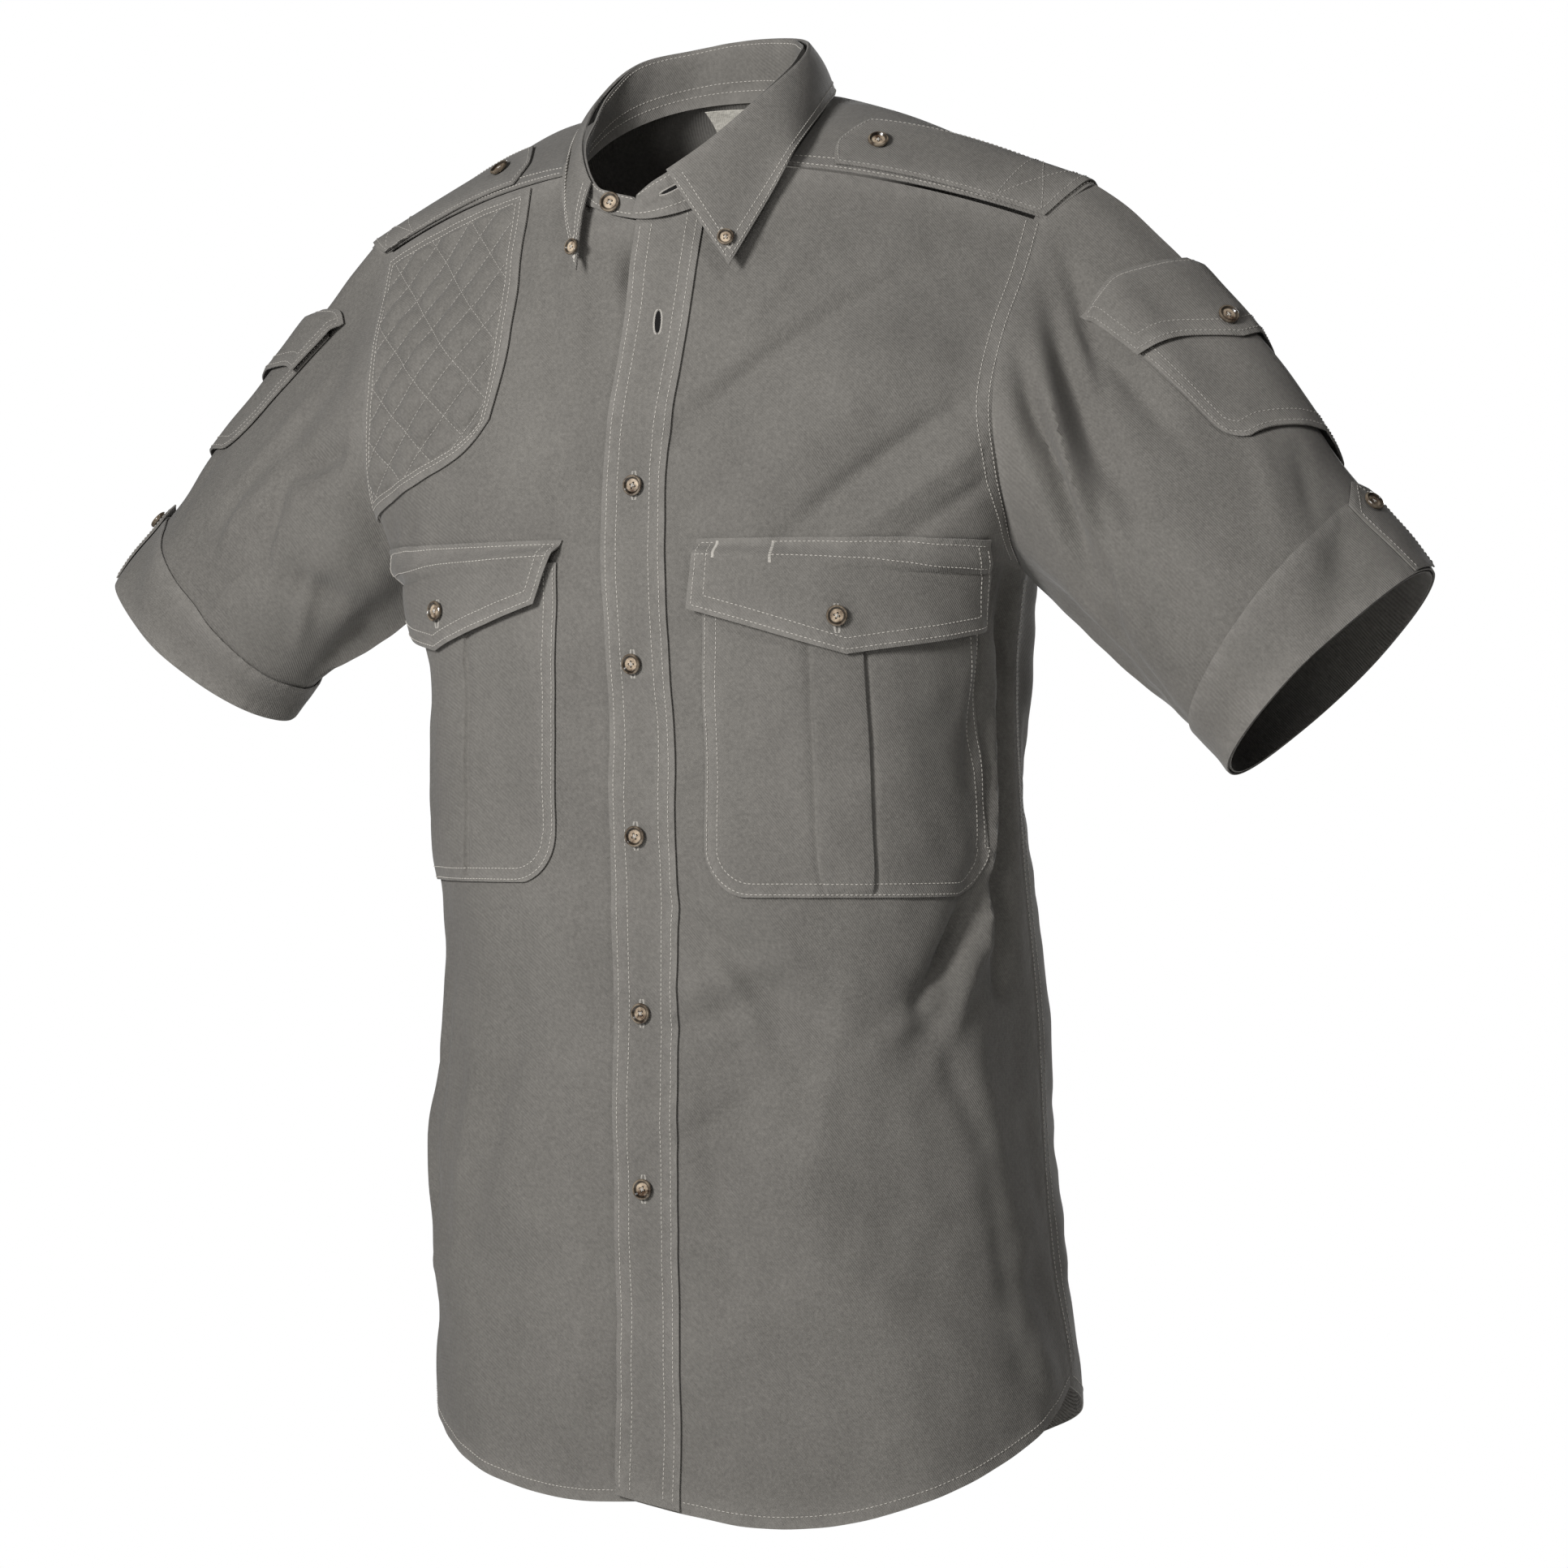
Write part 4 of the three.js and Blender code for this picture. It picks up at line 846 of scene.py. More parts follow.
def woven(name, dark, light, rubbed, roughness, sheen, rib_scale, rib_depth, wear):
    material = bpy.data.materials.new(name)
    material.use_nodes = True
    tree = material.node_tree
    shader = tree.nodes["Principled BSDF"]
    place = tree.nodes.new("ShaderNodeTexCoord").outputs["Object"]
    mask = tree.nodes.new("ShaderNodeAttribute")
    mask.attribute_name = "seam"
    dye = place_group(tree, DYE, place, {"Dark": dark, "Light": light})
    worn = place_group(tree, WEAR, place, {"Rubbed": rubbed, "Amount": wear})
    ribs = place_group(tree, TWILL, place, {"Rib Scale": rib_scale})
    tree.links.new(mask.outputs["Fac"], worn.inputs["Mask"])
    tree.links.new(dye.outputs["Color"], worn.inputs["Color"])
    tree.links.new(worn.outputs["Color"], shader.inputs["Base Color"])
    puckered = bump(tree, worn.outputs["Pucker"], PUCKER["depth"], PUCKER["strength"])
    normal = bump(tree, ribs.outputs["Height"], rib_depth, RIB_STRENGTH, puckered)
    tree.links.new(normal, shader.inputs["Normal"])
    shader.inputs["Roughness"].default_value = roughness
    shader.inputs["Specular IOR Level"].default_value = 0.25
    shader.inputs["Sheen Weight"].default_value = sheen
    shader.inputs["Sheen Roughness"].default_value = 0.5
    return material


TWILL_DARK = (0.045, 0.042, 0.038, 1)
TWILL_LIGHT = (0.232, 0.219, 0.199, 1)
TWILL_RUBBED = (0.27, 0.255, 0.235, 1)
twill_cloth = woven("twill_cloth", TWILL_DARK, TWILL_LIGHT, TWILL_RUBBED,
                    roughness=0.88, sheen=0.12, rib_scale=330.0, rib_depth=0.0002, wear=0.5)
THREAD_DARK = (0.36, 0.34, 0.31, 1)
THREAD_LIGHT = (0.58, 0.55, 0.50, 1)
pale_thread = woven("pale_thread", THREAD_DARK, THREAD_LIGHT, THREAD_LIGHT,
                    roughness=0.7, sheen=0.1, rib_scale=900.0, rib_depth=0.00006, wear=0)
# Tonal thread, near the cloth's own colour. On the sleeves its darker tone also serves as painted shade for
# stitches sunk in shaded dips.
TONAL_DARK = (0.27, 0.255, 0.23, 1)
TONAL_LIGHT = (0.42, 0.40, 0.37, 1)
tonal_thread = woven("tonal_thread", TONAL_DARK, TONAL_LIGHT, TONAL_LIGHT,
                     roughness=0.75, sheen=0.1, rib_scale=900.0, rib_depth=0.00006, wear=0)
CREAM_DARK = (0.58, 0.55, 0.48, 1)
CREAM_LIGHT = (0.74, 0.71, 0.64, 1)
label_cloth = woven("label_cloth", CREAM_DARK, CREAM_LIGHT, CREAM_LIGHT,
                    roughness=0.6, sheen=0.05, rib_scale=500.0, rib_depth=0.00008, wear=0.2)
print("cloth materials:", [material.name for material in (twill_cloth, pale_thread, tonal_thread)])


# %% [markdown]
# The two fronts and the back. A worn panel is a drafted sheet wrapped on the body surface, so the
# grid runs along its real edges: rows from hem to top seam, columns from front edge to side seam.
# The columns crowd together at both ends, where the cloth turns and where stitching will lie.

# %% Fronts and back
FRONT_GRID = dict(below=120, above=78, columns=104)
BACK_GRID = dict(below=112, above=64, columns=72)


def panel_steps(below, above):
    low = np.linspace(0, ROWS_BELOW, below)
    high = ROWS_BELOW + ROWS_ABOVE * np.linspace(0, 1, above) ** 0.75
    return np.concatenate([low, high[1:]])


def front_place(side, share, step):
    """Across and row of a share of the way out and a step of the way up a front."""
    sign = 1 if side == "left" else -1
    hem = front_hem(side, share)
    across = sign * share * reach("front", np.full(share.shape, float(ARMPIT)))
    for _ in range(3):
        row = panel_row(hem, front_top(across), step)
        end = sign * reach("front", row)
        across = mix(front_edge(side, row), end, share)
    return across, row


def mesh_grid(rows, columns):
    return np.meshgrid(np.asarray(rows, float), np.asarray(columns, float), indexing="ij")


for side in ("left", "right"):
    steps_up, shares = mesh_grid(
        panel_steps(FRONT_GRID["below"], FRONT_GRID["above"]),
        np.linspace(0, 1, FRONT_GRID["columns"]),
    )
    across, row = front_place(side, shares, steps_up)
    grid = front_point(side, across, row)
    name = "front_" + side
    wall(name + "_cloth", grid, CLOTH, twill_cloth, name, flip=side == "right")

steps_up, shares = mesh_grid(
    panel_steps(BACK_GRID["below"], BACK_GRID["above"]),
    np.linspace(-1, 1, 2 * BACK_GRID["columns"] + 1),
)
row = panel_row(back_hem(np.abs(shares)), BACK_SEAM, steps_up)
across = shares * reach("back", row)
wall("back_cloth", on_body("back", across, row), CLOTH, twill_cloth, "back", flip=True)
print("points in the back:", len(made["back_cloth"].data.vertices))


# %% [markdown]
# The placket is a folded strip stitched along both edges of the left front. It sits proud of the
# front by its own thickness, so its edges catch light and cast the thin dark line beside it.

# %% Placket
BAND_HEM_SHARE = 0.13
BAND_LIFT = REST_GAP + BAND


def placket_at(share, up, lift=0.0):
    hem = front_hem("left", share * BAND_HEM_SHARE) + 1
    row = mix(hem, float(NECK["front_z"]), up)
    row = mix(hem, front_top(front_edge("left", row) + share * PLACKET), up)
    return front_point("left", front_edge("left", row) + share * PLACKET, row, BAND_LIFT + lift)


band_up, band_share = mesh_grid(np.linspace(0, 1, 230), np.linspace(0, 1, 14))
wall("placket_cloth", placket_at(band_share, band_up), BAND, twill_cloth, "placket")


# %% [markdown]
# Chest pockets. Each is a square-topped patch with round lower corners and a box pleat, and it
# swells a little in the middle because a worn pocket never lies flat. The pleat's edges need
# columns less than a millimetre apart, so the column list is made from the pleat outwards.

# %% Chest pockets
POCKETS = {
    "left": dict(inner_low=40, inner_top=42, outer_low=206, outer_top=193, pleat=112, low=-393),
    "right": dict(inner_low=51, inner_top=46, outer_low=206, outer_top=196, pleat=119, low=-386),
}
POCKET = dict(top=-214, corner=26, swell=3.5)
PLEAT = dict(half=13, raise_mm=1.6, edge=1.2)


def corner_inset(height, radius):
    inside = np.clip(radius - height, 0, radius)
    return radius - np.sqrt(radius**2 - inside**2)


def pocket_sides(pocket, up, inset):
    inner = mix(pocket["inner_low"], pocket["inner_top"], up) + inset
    outer = mix(pocket["outer_low"], pocket["outer_top"], up) - inset
    return inner, outer


def pocket_columns(pocket, count):
    width = pocket["outer_top"] - pocket["inner_top"]
    centre = (pocket["pleat"] - pocket["inner_top"]) / width
    half, edge = PLEAT["half"] / width, PLEAT["edge"] / width
    offsets = (-0.8, -0.4, 0, 0.4, 0.8, 1.4, 2.4)
    edges = [centre + way * (half + edge * k) for way in (-1, 1) for k in offsets]
    spread = np.linspace(0, 1, count)
    spread = spread[np.min(np.abs(spread[:, None] - np.array(edges)[None, :]), axis=1) > 0.006]
    return np.sort(np.concatenate([spread, edges]))


def pocket_at(side, share, up, lift=0.0):
    sign = 1 if side == "left" else -1
    pocket = POCKETS[side]
    row = mix(float(pocket["low"]), float(POCKET["top"]), up)
    inset = corner_inset(row - pocket["low"] + 0.6, POCKET["corner"])
    inner, outer = pocket_sides(pocket, up, inset)
    belly = np.sin(math.pi * share) * np.sin(math.pi * up)
    width = pocket["outer_top"] - pocket["inner_top"]
    from_pleat = np.abs(share * width - (pocket["pleat"] - pocket["inner_top"])) - PLEAT["half"]
    raised = PLEAT["raise_mm"] * smooth(0.5 - from_pleat / PLEAT["edge"])
    tuck = -0.9 * np.exp(-(((from_pleat - 1.6) / 1.1) ** 2))
    height = OFF_PANEL + POCKET["swell"] * belly + (raised + tuck) * smooth(up * 30)
    return front_point(side, sign * mix(inner, outer, share), row, height + lift)


corner_rows = 0.145 * (1 - np.cos(np.linspace(0, math.pi / 2, 16)))
POCKET_UP = np.concatenate([corner_rows, np.linspace(0.16, 1, 54)])
for side in ("left", "right"):
    up, share = mesh_grid(POCKET_UP, pocket_columns(POCKETS[side], 60))
    name = "chest_pocket_" + side
    wall(name + "_cloth", pocket_at(side, share, up), CLOTH, twill_cloth, name, flip=side == "right")


# %% [markdown]
# Pocket flaps. A flap is sewn down along its top only, so below that it stands away over the full
# pocket, and its point hangs freely. Its lower corners curl out slightly from washing.

# %% Chest flaps
FLAPS = {
    "left": dict(inner_top=38, inner_low=35, outer=200, top=-203, inner=-240, point=-264, outer_z=-250),
    "right": dict(inner_top=43, inner_low=57, outer=202, top=-202, inner=-236, point=-259, outer_z=-244),
}
FLAP_LIFT = 6


def flap_at(side, share, up, lift=0.0):
    sign = 1 if side == "left" else -1
    flap = FLAPS[side]
    half = np.where(share < 0.5, share / 0.5, (1 - share) / 0.5)
    low = mix(np.where(share < 0.5, float(flap["inner"]), float(flap["outer_z"])), flap["point"], half)
    row = mix(low, float(flap["top"]), up)
    across = mix(mix(flap["inner_low"], flap["inner_top"], up), flap["outer"], share)
    belly = POCKET["swell"] * np.sin(math.pi * share)
    free = smooth((0.95 - up) * 7)
    wave = 0.5 * np.sin(share * 17 + 1.3) * (1 - up) ** 2
    height = OFF_PANEL + (FLAP_LIFT + belly * 0.6 + wave) * free
    return front_point(side, sign * across, row, height + lift)


for side in ("left", "right"):
    up, share = mesh_grid(np.linspace(0, 1, 30), np.linspace(0, 1, 73))
    name = "chest_flap_" + side
    wall(name + "_cloth", flap_at(side, share, up), CLOTH, twill_cloth, name, flip=side == "right")


# %% [markdown]
# The quilted shoulder patch. Two layers with a little wadding are sewn in a diamond net, so each
# cell is a small pillow and every line of stitching lies in a valley. The pillow height is the
# product of the distances to both sets of lines, which gives soft middles and narrow valleys. One
# set of lines is closer together than the other, and a flat border runs round them.

# %% Quilted patch
PATCH = dict(top=-2.5, seam=3.5, lift=OFF_PANEL + 0.15, plump=3.0, border=8.0, swell=4.0)
# How far apart the lines of each set are, along a row and up the panel
NET_FALLING = dict(wide=24.2, tall=25.4)
NET_RISING = dict(wide=35.0, tall=36.2)
NET_VALLEY = 0.1
PATCH_SIZE = dict(wide=110.0, tall=160.0)


def patch_place(out, up):
    row = mix(read(PATCH_LOW, "out", out, "z"), PATCH["top"], up)
    end = reach("front", row) - PATCH["seam"]
    return mix(read(PATCH_INNER, "up", up, "across"), end, out), row


def patch_height(across, row, border):
    falling = across / NET_FALLING["wide"] + row / NET_FALLING["tall"]
    rising = across / NET_RISING["wide"] - row / NET_RISING["tall"]
    apart = np.abs(np.sin(math.pi * falling) * np.sin(math.pi * rising))
    pillow = np.sqrt(np.clip((apart - NET_VALLEY) / (1 - NET_VALLEY), 0, 1))
    return PATCH["plump"] * pillow * smooth((border - PATCH["border"]) / PATCH["swell"])


def patch_at(out, up, lift=0.0):
    across, row = patch_place(out, up)
    from_side = np.minimum(out, 1 - out) * PATCH_SIZE["wide"]
    from_top = np.minimum(up, 1 - up) * PATCH_SIZE["tall"]
    height = patch_height(across, row, np.minimum(from_side, from_top))
    return front_point("right", -across, row, PATCH["lift"] + height + lift)


up, out = mesh_grid(np.linspace(0, 1, 132), np.linspace(0, 1, 104))
wall("quilted_patch_cloth", patch_at(out, up), CLOTH, twill_cloth, "quilted_patch", flip=True)


# %% [markdown]
# The yoke and epaulettes. The yoke is one piece over both shoulders, so its grid runs from the
# left front seam round the back of the neck to the right front seam. The armhole line is a smooth
# curve through a few points of the shoulder, spaced evenly by length so the sleeve cap, which
# shares it, is not bunched.

# %% Smooth curves through a few points
def through(points, count):
    """Even spacing along a centripetal Catmull-Rom curve."""
    points = np.array(points, float)
    ends = np.concatenate([[2 * points[0] - points[1]], points, [2 * points[-1] - points[-2]]])
    samples = []
    for p0, p1, p2, p3 in zip(ends[:-3], ends[1:-2], ends[2:-1], ends[3:]):
        gaps = [max(np.linalg.norm(b - a) ** 0.5, 1e-4) for a, b in ((p0, p1), (p1, p2), (p2, p3))]
        slope_1 = ((p1 - p0) / gaps[0] - (p2 - p0) / (gaps[0] + gaps[1]) + (p2 - p1) / gaps[1]) * gaps[1]
        slope_2 = ((p2 - p1) / gaps[1] - (p3 - p1) / (gaps[1] + gaps[2]) + (p3 - p2) / gaps[2]) * gaps[1]
        t = np.linspace(0, 1, 120, endpoint=False)[:, None]
        t2, t3 = t * t, t * t * t
        samples.append(
            (2 * t3 - 3 * t2 + 1) * p1 + (t3 - 2 * t2 + t) * slope_1
            + (3 * t2 - 2 * t3) * p2 + (t3 - t2) * slope_2
        )
    line = np.concatenate([*samples, points[-1:]])
    return respace(line, count)


def respace(line, count):
    walked = np.concatenate([[0], np.cumsum(np.linalg.norm(np.diff(line, axis=0), axis=1))])
    places = np.linspace(0, walked[-1], count + 1)
    return np.stack([np.interp(places, walked, line[:, k]) for k in range(3)], -1)


SHOULDER_TOP = {"left": np.array([222.0, 14, -13]), "right": np.array([219.0, 12, -28])}
CORNER_ROWS = dict(front=float(YOKE_ROW), back=float(BACK_SEAM))


def panel_end(face, row):
    row = np.atleast_1d(np.asarray(row, float))
    return body(face, reach(face, row), row)


FRONT_CORNER = panel_end("front", CORNER_ROWS["front"])[0]
BACK_CORNER = panel_end("back", CORNER_ROWS["back"])[0]
ARMPIT_POINT = panel_end("front", float(ARMPIT))[0]
RING_STEPS = 180
YOKE_END_STEPS = 60


def shoulder_ends(side):
    top = SHOULDER_TOP[side]
    before = (FRONT_CORNER + top) / 2 + np.array([3, -2, 3])
    behind = (BACK_CORNER + top) / 2 + np.array([4, 4, 8])
    return [FRONT_CORNER, before, top, behind, BACK_CORNER]


def armhole_paths(side):
    corner, before, top, behind, back_corner = shoulder_ends(side)
    front_rows = np.linspace(YOKE_ROW, ARMPIT, 15)[1:-1]
    back_rows = np.linspace(BACK_SEAM, ARMPIT, 15)[1:-1]
    front = [top, before, corner, *panel_end("front", front_rows), ARMPIT_POINT]
    back = [top, behind, back_corner, *panel_end("back", back_rows), ARMPIT_POINT]
    return through(front, RING_STEPS), through(back, RING_STEPS)


ARMHOLES = {side: armhole_paths(side) for side in ("left", "right")}
YOKE_ENDS = {side: through(shoulder_ends(side), YOKE_END_STEPS) for side in ("left", "right")}


def pick(path, place):
    i = np.clip(np.floor(place).astype(int), 0, len(path) - 2)
    return path[i] + (path[i + 1] - path[i]) * (place - i)[..., None]


def armhole(side, turn):
    place = np.clip(np.abs(turn) / 180, 0, 1) * RING_STEPS
    front, back = ARMHOLES[side]
    return np.where((turn >= 0)[..., None], pick(front, place), pick(back, place))


# %% The yoke
YOKE_BACK_ROW = BACK_SEAM + 0.8
YOKE_TURN = 0.62
SEAM_START = 58
SEAM_EASE = 0.012
NECK_CORNER = neck_ring(NECK_SEAM_TURN)
FRONT_REACH = float(reach("front", np.array([float(YOKE_ROW)]))[0])
BACK_REACH = float(reach("back", np.array([float(YOKE_BACK_ROW)]))[0])


def yoke_point(side, around, out):
    around, out = np.broadcast_arrays(np.asarray(around, float), np.asarray(out, float))
    inner = neck_ring(mix(NECK_SEAM_TURN, 180, around))
    by_end = pick(YOKE_ENDS[side], np.clip(around / YOKE_TURN, 0, 1) * YOKE_END_STEPS)
    share = 1 - (around - YOKE_TURN) / (1 - YOKE_TURN)
    by_back = body("back", np.clip(share, 0, 1) * BACK_REACH, float(YOKE_BACK_ROW))
    outer = np.where((around < YOKE_TURN)[..., None], by_end, by_back)
    point = inner + (outer - inner) * out[..., None]
    seam = body("front", mix(SEAM_START, FRONT_REACH, out), float(YOKE_ROW))
    on_line = NECK_CORNER + (FRONT_CORNER - NECK_CORNER) * out[..., None]
    point = point + (seam - on_line) * (1 - smooth(around / 0.3))[..., None]
    safe = np.clip(out, 0, 1)
    bulge = np.sin(math.pi * safe**0.8)
    ridge = np.sin(math.pi * safe ** mix(0.6, 1, smooth((around - 0.55) / 0.3)))
    point[..., 2] += 22 * ridge * smooth(around * 3) * smooth((1.2 - around) * 2)
    point[..., 1] += 9 * bulge * smooth((around - 0.45) / 0.35)
    if side == "right":
        point[..., 0] = -point[..., 0]
    return point


def on_yoke(side, around, out, lift=0.0):
    u = yoke_point(side, around + 0.01, out) - yoke_point(side, around - 0.01, out)
    v = yoke_point(side, around, out + 0.01) - yoke_point(side, around, out - 0.01)
    normal = unit(np.cross(v, u))
    normal = np.where(normal[..., 2:] < 0, -normal, normal)
    return yoke_point(side, around, out) + normal * np.broadcast_to(lift, around.shape)[..., None]


YOKE_LAP = 0.6
YOKE_OUTS = np.linspace(0.004, 1, 64)
halves = np.concatenate([[SEAM_EASE], np.linspace(0.02, 1, 76)])
around, out = mesh_grid(halves, YOKE_OUTS)
left_half = on_yoke("left", around, out, YOKE_LAP)
right_half = on_yoke("right", around, out, YOKE_LAP)[-2::-1]
wall("yoke_cloth", np.concatenate([left_half, right_half]), CLOTH, twill_cloth, "yoke")


# %% [markdown]
# Each epaulette is a pointed strap caught in the armhole seam and buttoned near the neck. It could
# be a bent box, but as a grid on the yoke's own surface it follows the shoulder's curve by itself.

# %% Epaulettes
OFF_YOKE = OFF_PANEL + 0.8
EPAULETTE = dict(centre=0.135, neck=0.12, half=23.0, tip=0.205, shoulder=0.05, end=0.985)


def epaulette_at(side, over, along, lift=0.0):
    start = EPAULETTE["tip"] + EPAULETTE["shoulder"] * np.abs(over) ** 1.5
    out = mix(start, EPAULETTE["end"], along**1.3)
    ahead = yoke_point(side, EPAULETTE["centre"] + 0.02, out)
    behind = yoke_point(side, EPAULETTE["centre"] - 0.02, out)
    pace = np.linalg.norm(ahead - behind, axis=-1) / 0.04
    around = mix(EPAULETTE["neck"], EPAULETTE["centre"], out) + over * EPAULETTE["half"] / pace
    return on_yoke(side, np.maximum(around, SEAM_EASE), out, OFF_YOKE + lift)


along, over = mesh_grid(np.linspace(0, 1, 46), np.linspace(-1, 1, 25))
for side in ("left", "right"):
    name = "epaulette_" + side
    wall(name + "_cloth", epaulette_at(side, over, along), CLOTH, twill_cloth, name, flip=side == "left")


# %% [markdown]
# Sleeves. A sleeve is a tube from the armhole to the round cuff; each line along it is a Hermite
# curve that leaves the shoulder in its own direction and arrives square to the cuff. Deep hanging
# folds at the front of the armhole show that the sleeve hangs down and not out.

# %% Sleeves and cuffs
SLEEVES = {
    "left": dict(side=1, leave=(0.85, -0.53), cuff=(355, 10, -275),
                 axis=(0.7, 0.02, -0.71), tall=73, deep=58),
    "right": dict(side=-1, leave=(0.7, -0.71), cuff=(-343, 30, -254),
                  axis=(-0.62, 0.04, -0.78), tall=65, deep=50),
}
SLEEVE_LENGTH = 200
CAP_CALM = 25
CUFF_DEPTH = 42
TURN_MM = 1.25


def cuff_point(sleeve, turn):
    axis = unit(np.array(sleeve["axis"], float))
    up = unit(np.array([0, 0, 1.0]) - axis * axis[2])
    forward = np.cross(up, axis) * sleeve["side"]
    if forward[1] > 0:
        forward = -forward
    angle = np.radians(turn)[..., None]
    centre = np.array(sleeve["cuff"], float)
    return centre + up * sleeve["tall"] * np.cos(angle) + forward * sleeve["deep"] * np.sin(angle)


def smooth_sleeve(side, turn, along):
    sleeve = SLEEVES[side]
    turn = (turn + 540) % 360 - 180
    axis = unit(np.array(sleeve["axis"], float))
    start = armhole(side, turn)
    start[..., 0] *= sleeve["side"]
    end = cuff_point(sleeve, turn)
    lower = ((1 - np.cos(np.radians(turn))) / 2) ** 0.8
    out, down = sleeve["leave"]
    first = np.array([sleeve["side"] * out, 0, down])
    leave = unit(first + (axis - first) * lower[..., None])
    length = np.linalg.norm(start - end, axis=-1, keepdims=True)
    t = (along / SLEEVE_LENGTH)[..., None]
    t2, t3 = t * t, t * t * t
    return (
        start * (2 * t3 - 3 * t2 + 1)
        + leave * (t3 - 2 * t2 + t) * length
        + end * (3 * t2 - 2 * t3)
        + axis * (t3 - t2) * length * 0.8
    )


def on_sleeve(side, turn, along, lift=0.0):
    turn, along = np.broadcast_arrays(np.asarray(turn, float), np.asarray(along, float))
    u = smooth_sleeve(side, turn + 3, along) - smooth_sleeve(side, turn - 3, along)
    v = smooth_sleeve(side, turn, along + 3) - smooth_sleeve(side, turn, along - 3)
    normal = unit(np.cross(u, v)) * SLEEVES[side]["side"]
    wrapped = (turn + 540) % 360 - 180
    height = fold_height(SLEEVE_FOLDS[side], wrapped, along, TURN_MM)
    height += CREASE_DEPTH * fold_height(SLEEVE_CREASES[side], wrapped, along, TURN_MM)
    angle = np.radians(wrapped)
    across, up = 60 * np.sin(angle), along + 50 * np.cos(angle)
    height += FINE["height"] * crumple(across, up, 31, FINE["size"] * 1.4)
    height += BROAD["height"] * crumple(across, up, 37, BROAD["size"])
    height *= smooth(along / CAP_CALM)
    return smooth_sleeve(side, turn, along) + normal * (height + lift)[..., None]


SLEEVE_START = -4.0
CUFF_LIFT = REST_GAP + CLOTH
turns = np.linspace(-180, 180, 145)[:-1]
for side in ("left", "right"):
    flip = side == "right"
    along, turn = mesh_grid(np.linspace(SLEEVE_START, SLEEVE_LENGTH, 86), turns)
    grid = on_sleeve(side, turn, along)
    wall(f"sleeve_{side}_cloth", grid, CLOTH, twill_cloth, "sleeve_" + side, True, flip)
    along, turn = mesh_grid(np.linspace(SLEEVE_LENGTH - CUFF_DEPTH, SLEEVE_LENGTH, 18), turns)
    grid = on_sleeve(side, turn, along, CUFF_LIFT)
    wall(f"cuff_{side}_cloth", grid, CLOTH, twill_cloth, "cuff_" + side, True, flip)


# %% [markdown]
# What the sleeves carry: a slanted pocket with a pointed flap, and the tab that holds the turned
# cuff up. They are placed by degrees round and millimetres along, so they follow the sleeve's
# folds and stay the width they were cut to.

# %% Sleeve pockets, flaps and tabs
SLEEVE_TRIMS = {
    "left": dict(pocket=8, tab=8, off=OFF_PANEL + 0.75, flip=True),
    "right": dict(pocket=-8, tab=4, off=OFF_PANEL + 0.4, flip=False),
}
ARM_POCKET = dict(half=36, top=53.0, low=125.0, skew=0.42, corner=12, swell=1.5)
ARM_FLAP = dict(half=38, top=43.0, low=74.0, point=84.0, lift=3.0, edge=0.3)
TAB = dict(half=12, start=151.0, tip=8.0)


def arm_point(side, turn, along, lift):
    return on_sleeve(side, SLEEVE_TRIMS[side]["pocket"] + turn, along - ARM_POCKET["skew"] * turn, lift)


def arm_pocket_at(side, over, up, lift=0.0):
    along = mix(ARM_POCKET["low"], ARM_POCKET["top"], up)
    inset = corner_inset(ARM_POCKET["low"] - along + 0.6, ARM_POCKET["corner"])
    swell = ARM_POCKET["swell"] * (1 - over**2)
    off = SLEEVE_TRIMS[side]["off"]
    return arm_point(side, over * (ARM_POCKET["half"] - inset), along, off + swell + lift)


def arm_flap_at(side, over, up, lift=0.0):
    low = mix(ARM_FLAP["point"], ARM_FLAP["low"], np.abs(over))
    along = mix(low, ARM_FLAP["top"], up)
    raised = (ARM_FLAP["lift"] + ARM_POCKET["swell"]) * smooth((1 - up) * 5)
    height = SLEEVE_TRIMS[side]["off"] + ARM_FLAP["edge"] + raised
    return arm_point(side, over * ARM_FLAP["half"], along, height + lift)


def tab_at(side, over, up, lift=0.0):
    start = TAB["start"] + TAB["tip"] * np.abs(over)
    along = mix(SLEEVE_LENGTH - 0.5, start, up)
    return on_sleeve(side, SLEEVE_TRIMS[side]["tab"] + over * TAB["half"], along, 2 * OFF_PANEL + lift)


for side in ("left", "right"):
    flip = SLEEVE_TRIMS[side]["flip"]
    low_rows = 0.165 * (1 - np.cos(np.linspace(0, math.pi / 2, 10)))
    up, over = mesh_grid(np.concatenate([low_rows, np.linspace(0.2, 1, 22)]), np.linspace(-1, 1, 41))
    wall(f"sleeve_pocket_{side}_cloth", arm_pocket_at(side, over, up), CLOTH, twill_cloth,
         "sleeve_pocket_" + side, flip=flip)
    up, over = mesh_grid(np.linspace(0, 1, 18), np.linspace(-1, 1, 41))
    wall(f"sleeve_flap_{side}_cloth", arm_flap_at(side, over, up), CLOTH, twill_cloth,
         "sleeve_flap_" + side, flip=flip)
    up, over = mesh_grid(np.linspace(0, 1, 24), np.linspace(-1, 1, 17))
    wall(f"tab_{side}_cloth", tab_at(side, over, up), CLOTH, twill_cloth, "tab_" + side, flip=flip)


# %% [markdown]
# The collar. A band stands on the neck seam, and the leaf rolls over its top edge and falls to two
# points. Both are surfaces between two drawn edges, because a collar is shaped by its edges.

# %% Collar stand and leaf
LEAF = dict(roll=2.6, bow=3.0, thick=1.6)
STAND_FOOT = 1.3
STAND_RIPPLE = 0.9


def edge_at(chart, turn):
    return np.stack([read(chart, "turn", turn, axis) for axis in "xyz"], -1)


def stand_smooth(turn, up):
    foot = neck_ring(turn)
    foot[..., 1] += 3.5 * smooth((turn - 338) / 12)
    point = foot + (edge_at(STAND_TOP, turn) - foot) * up[..., None]
    point[..., 2] += STAND_FOOT * (1 - up)
    return point


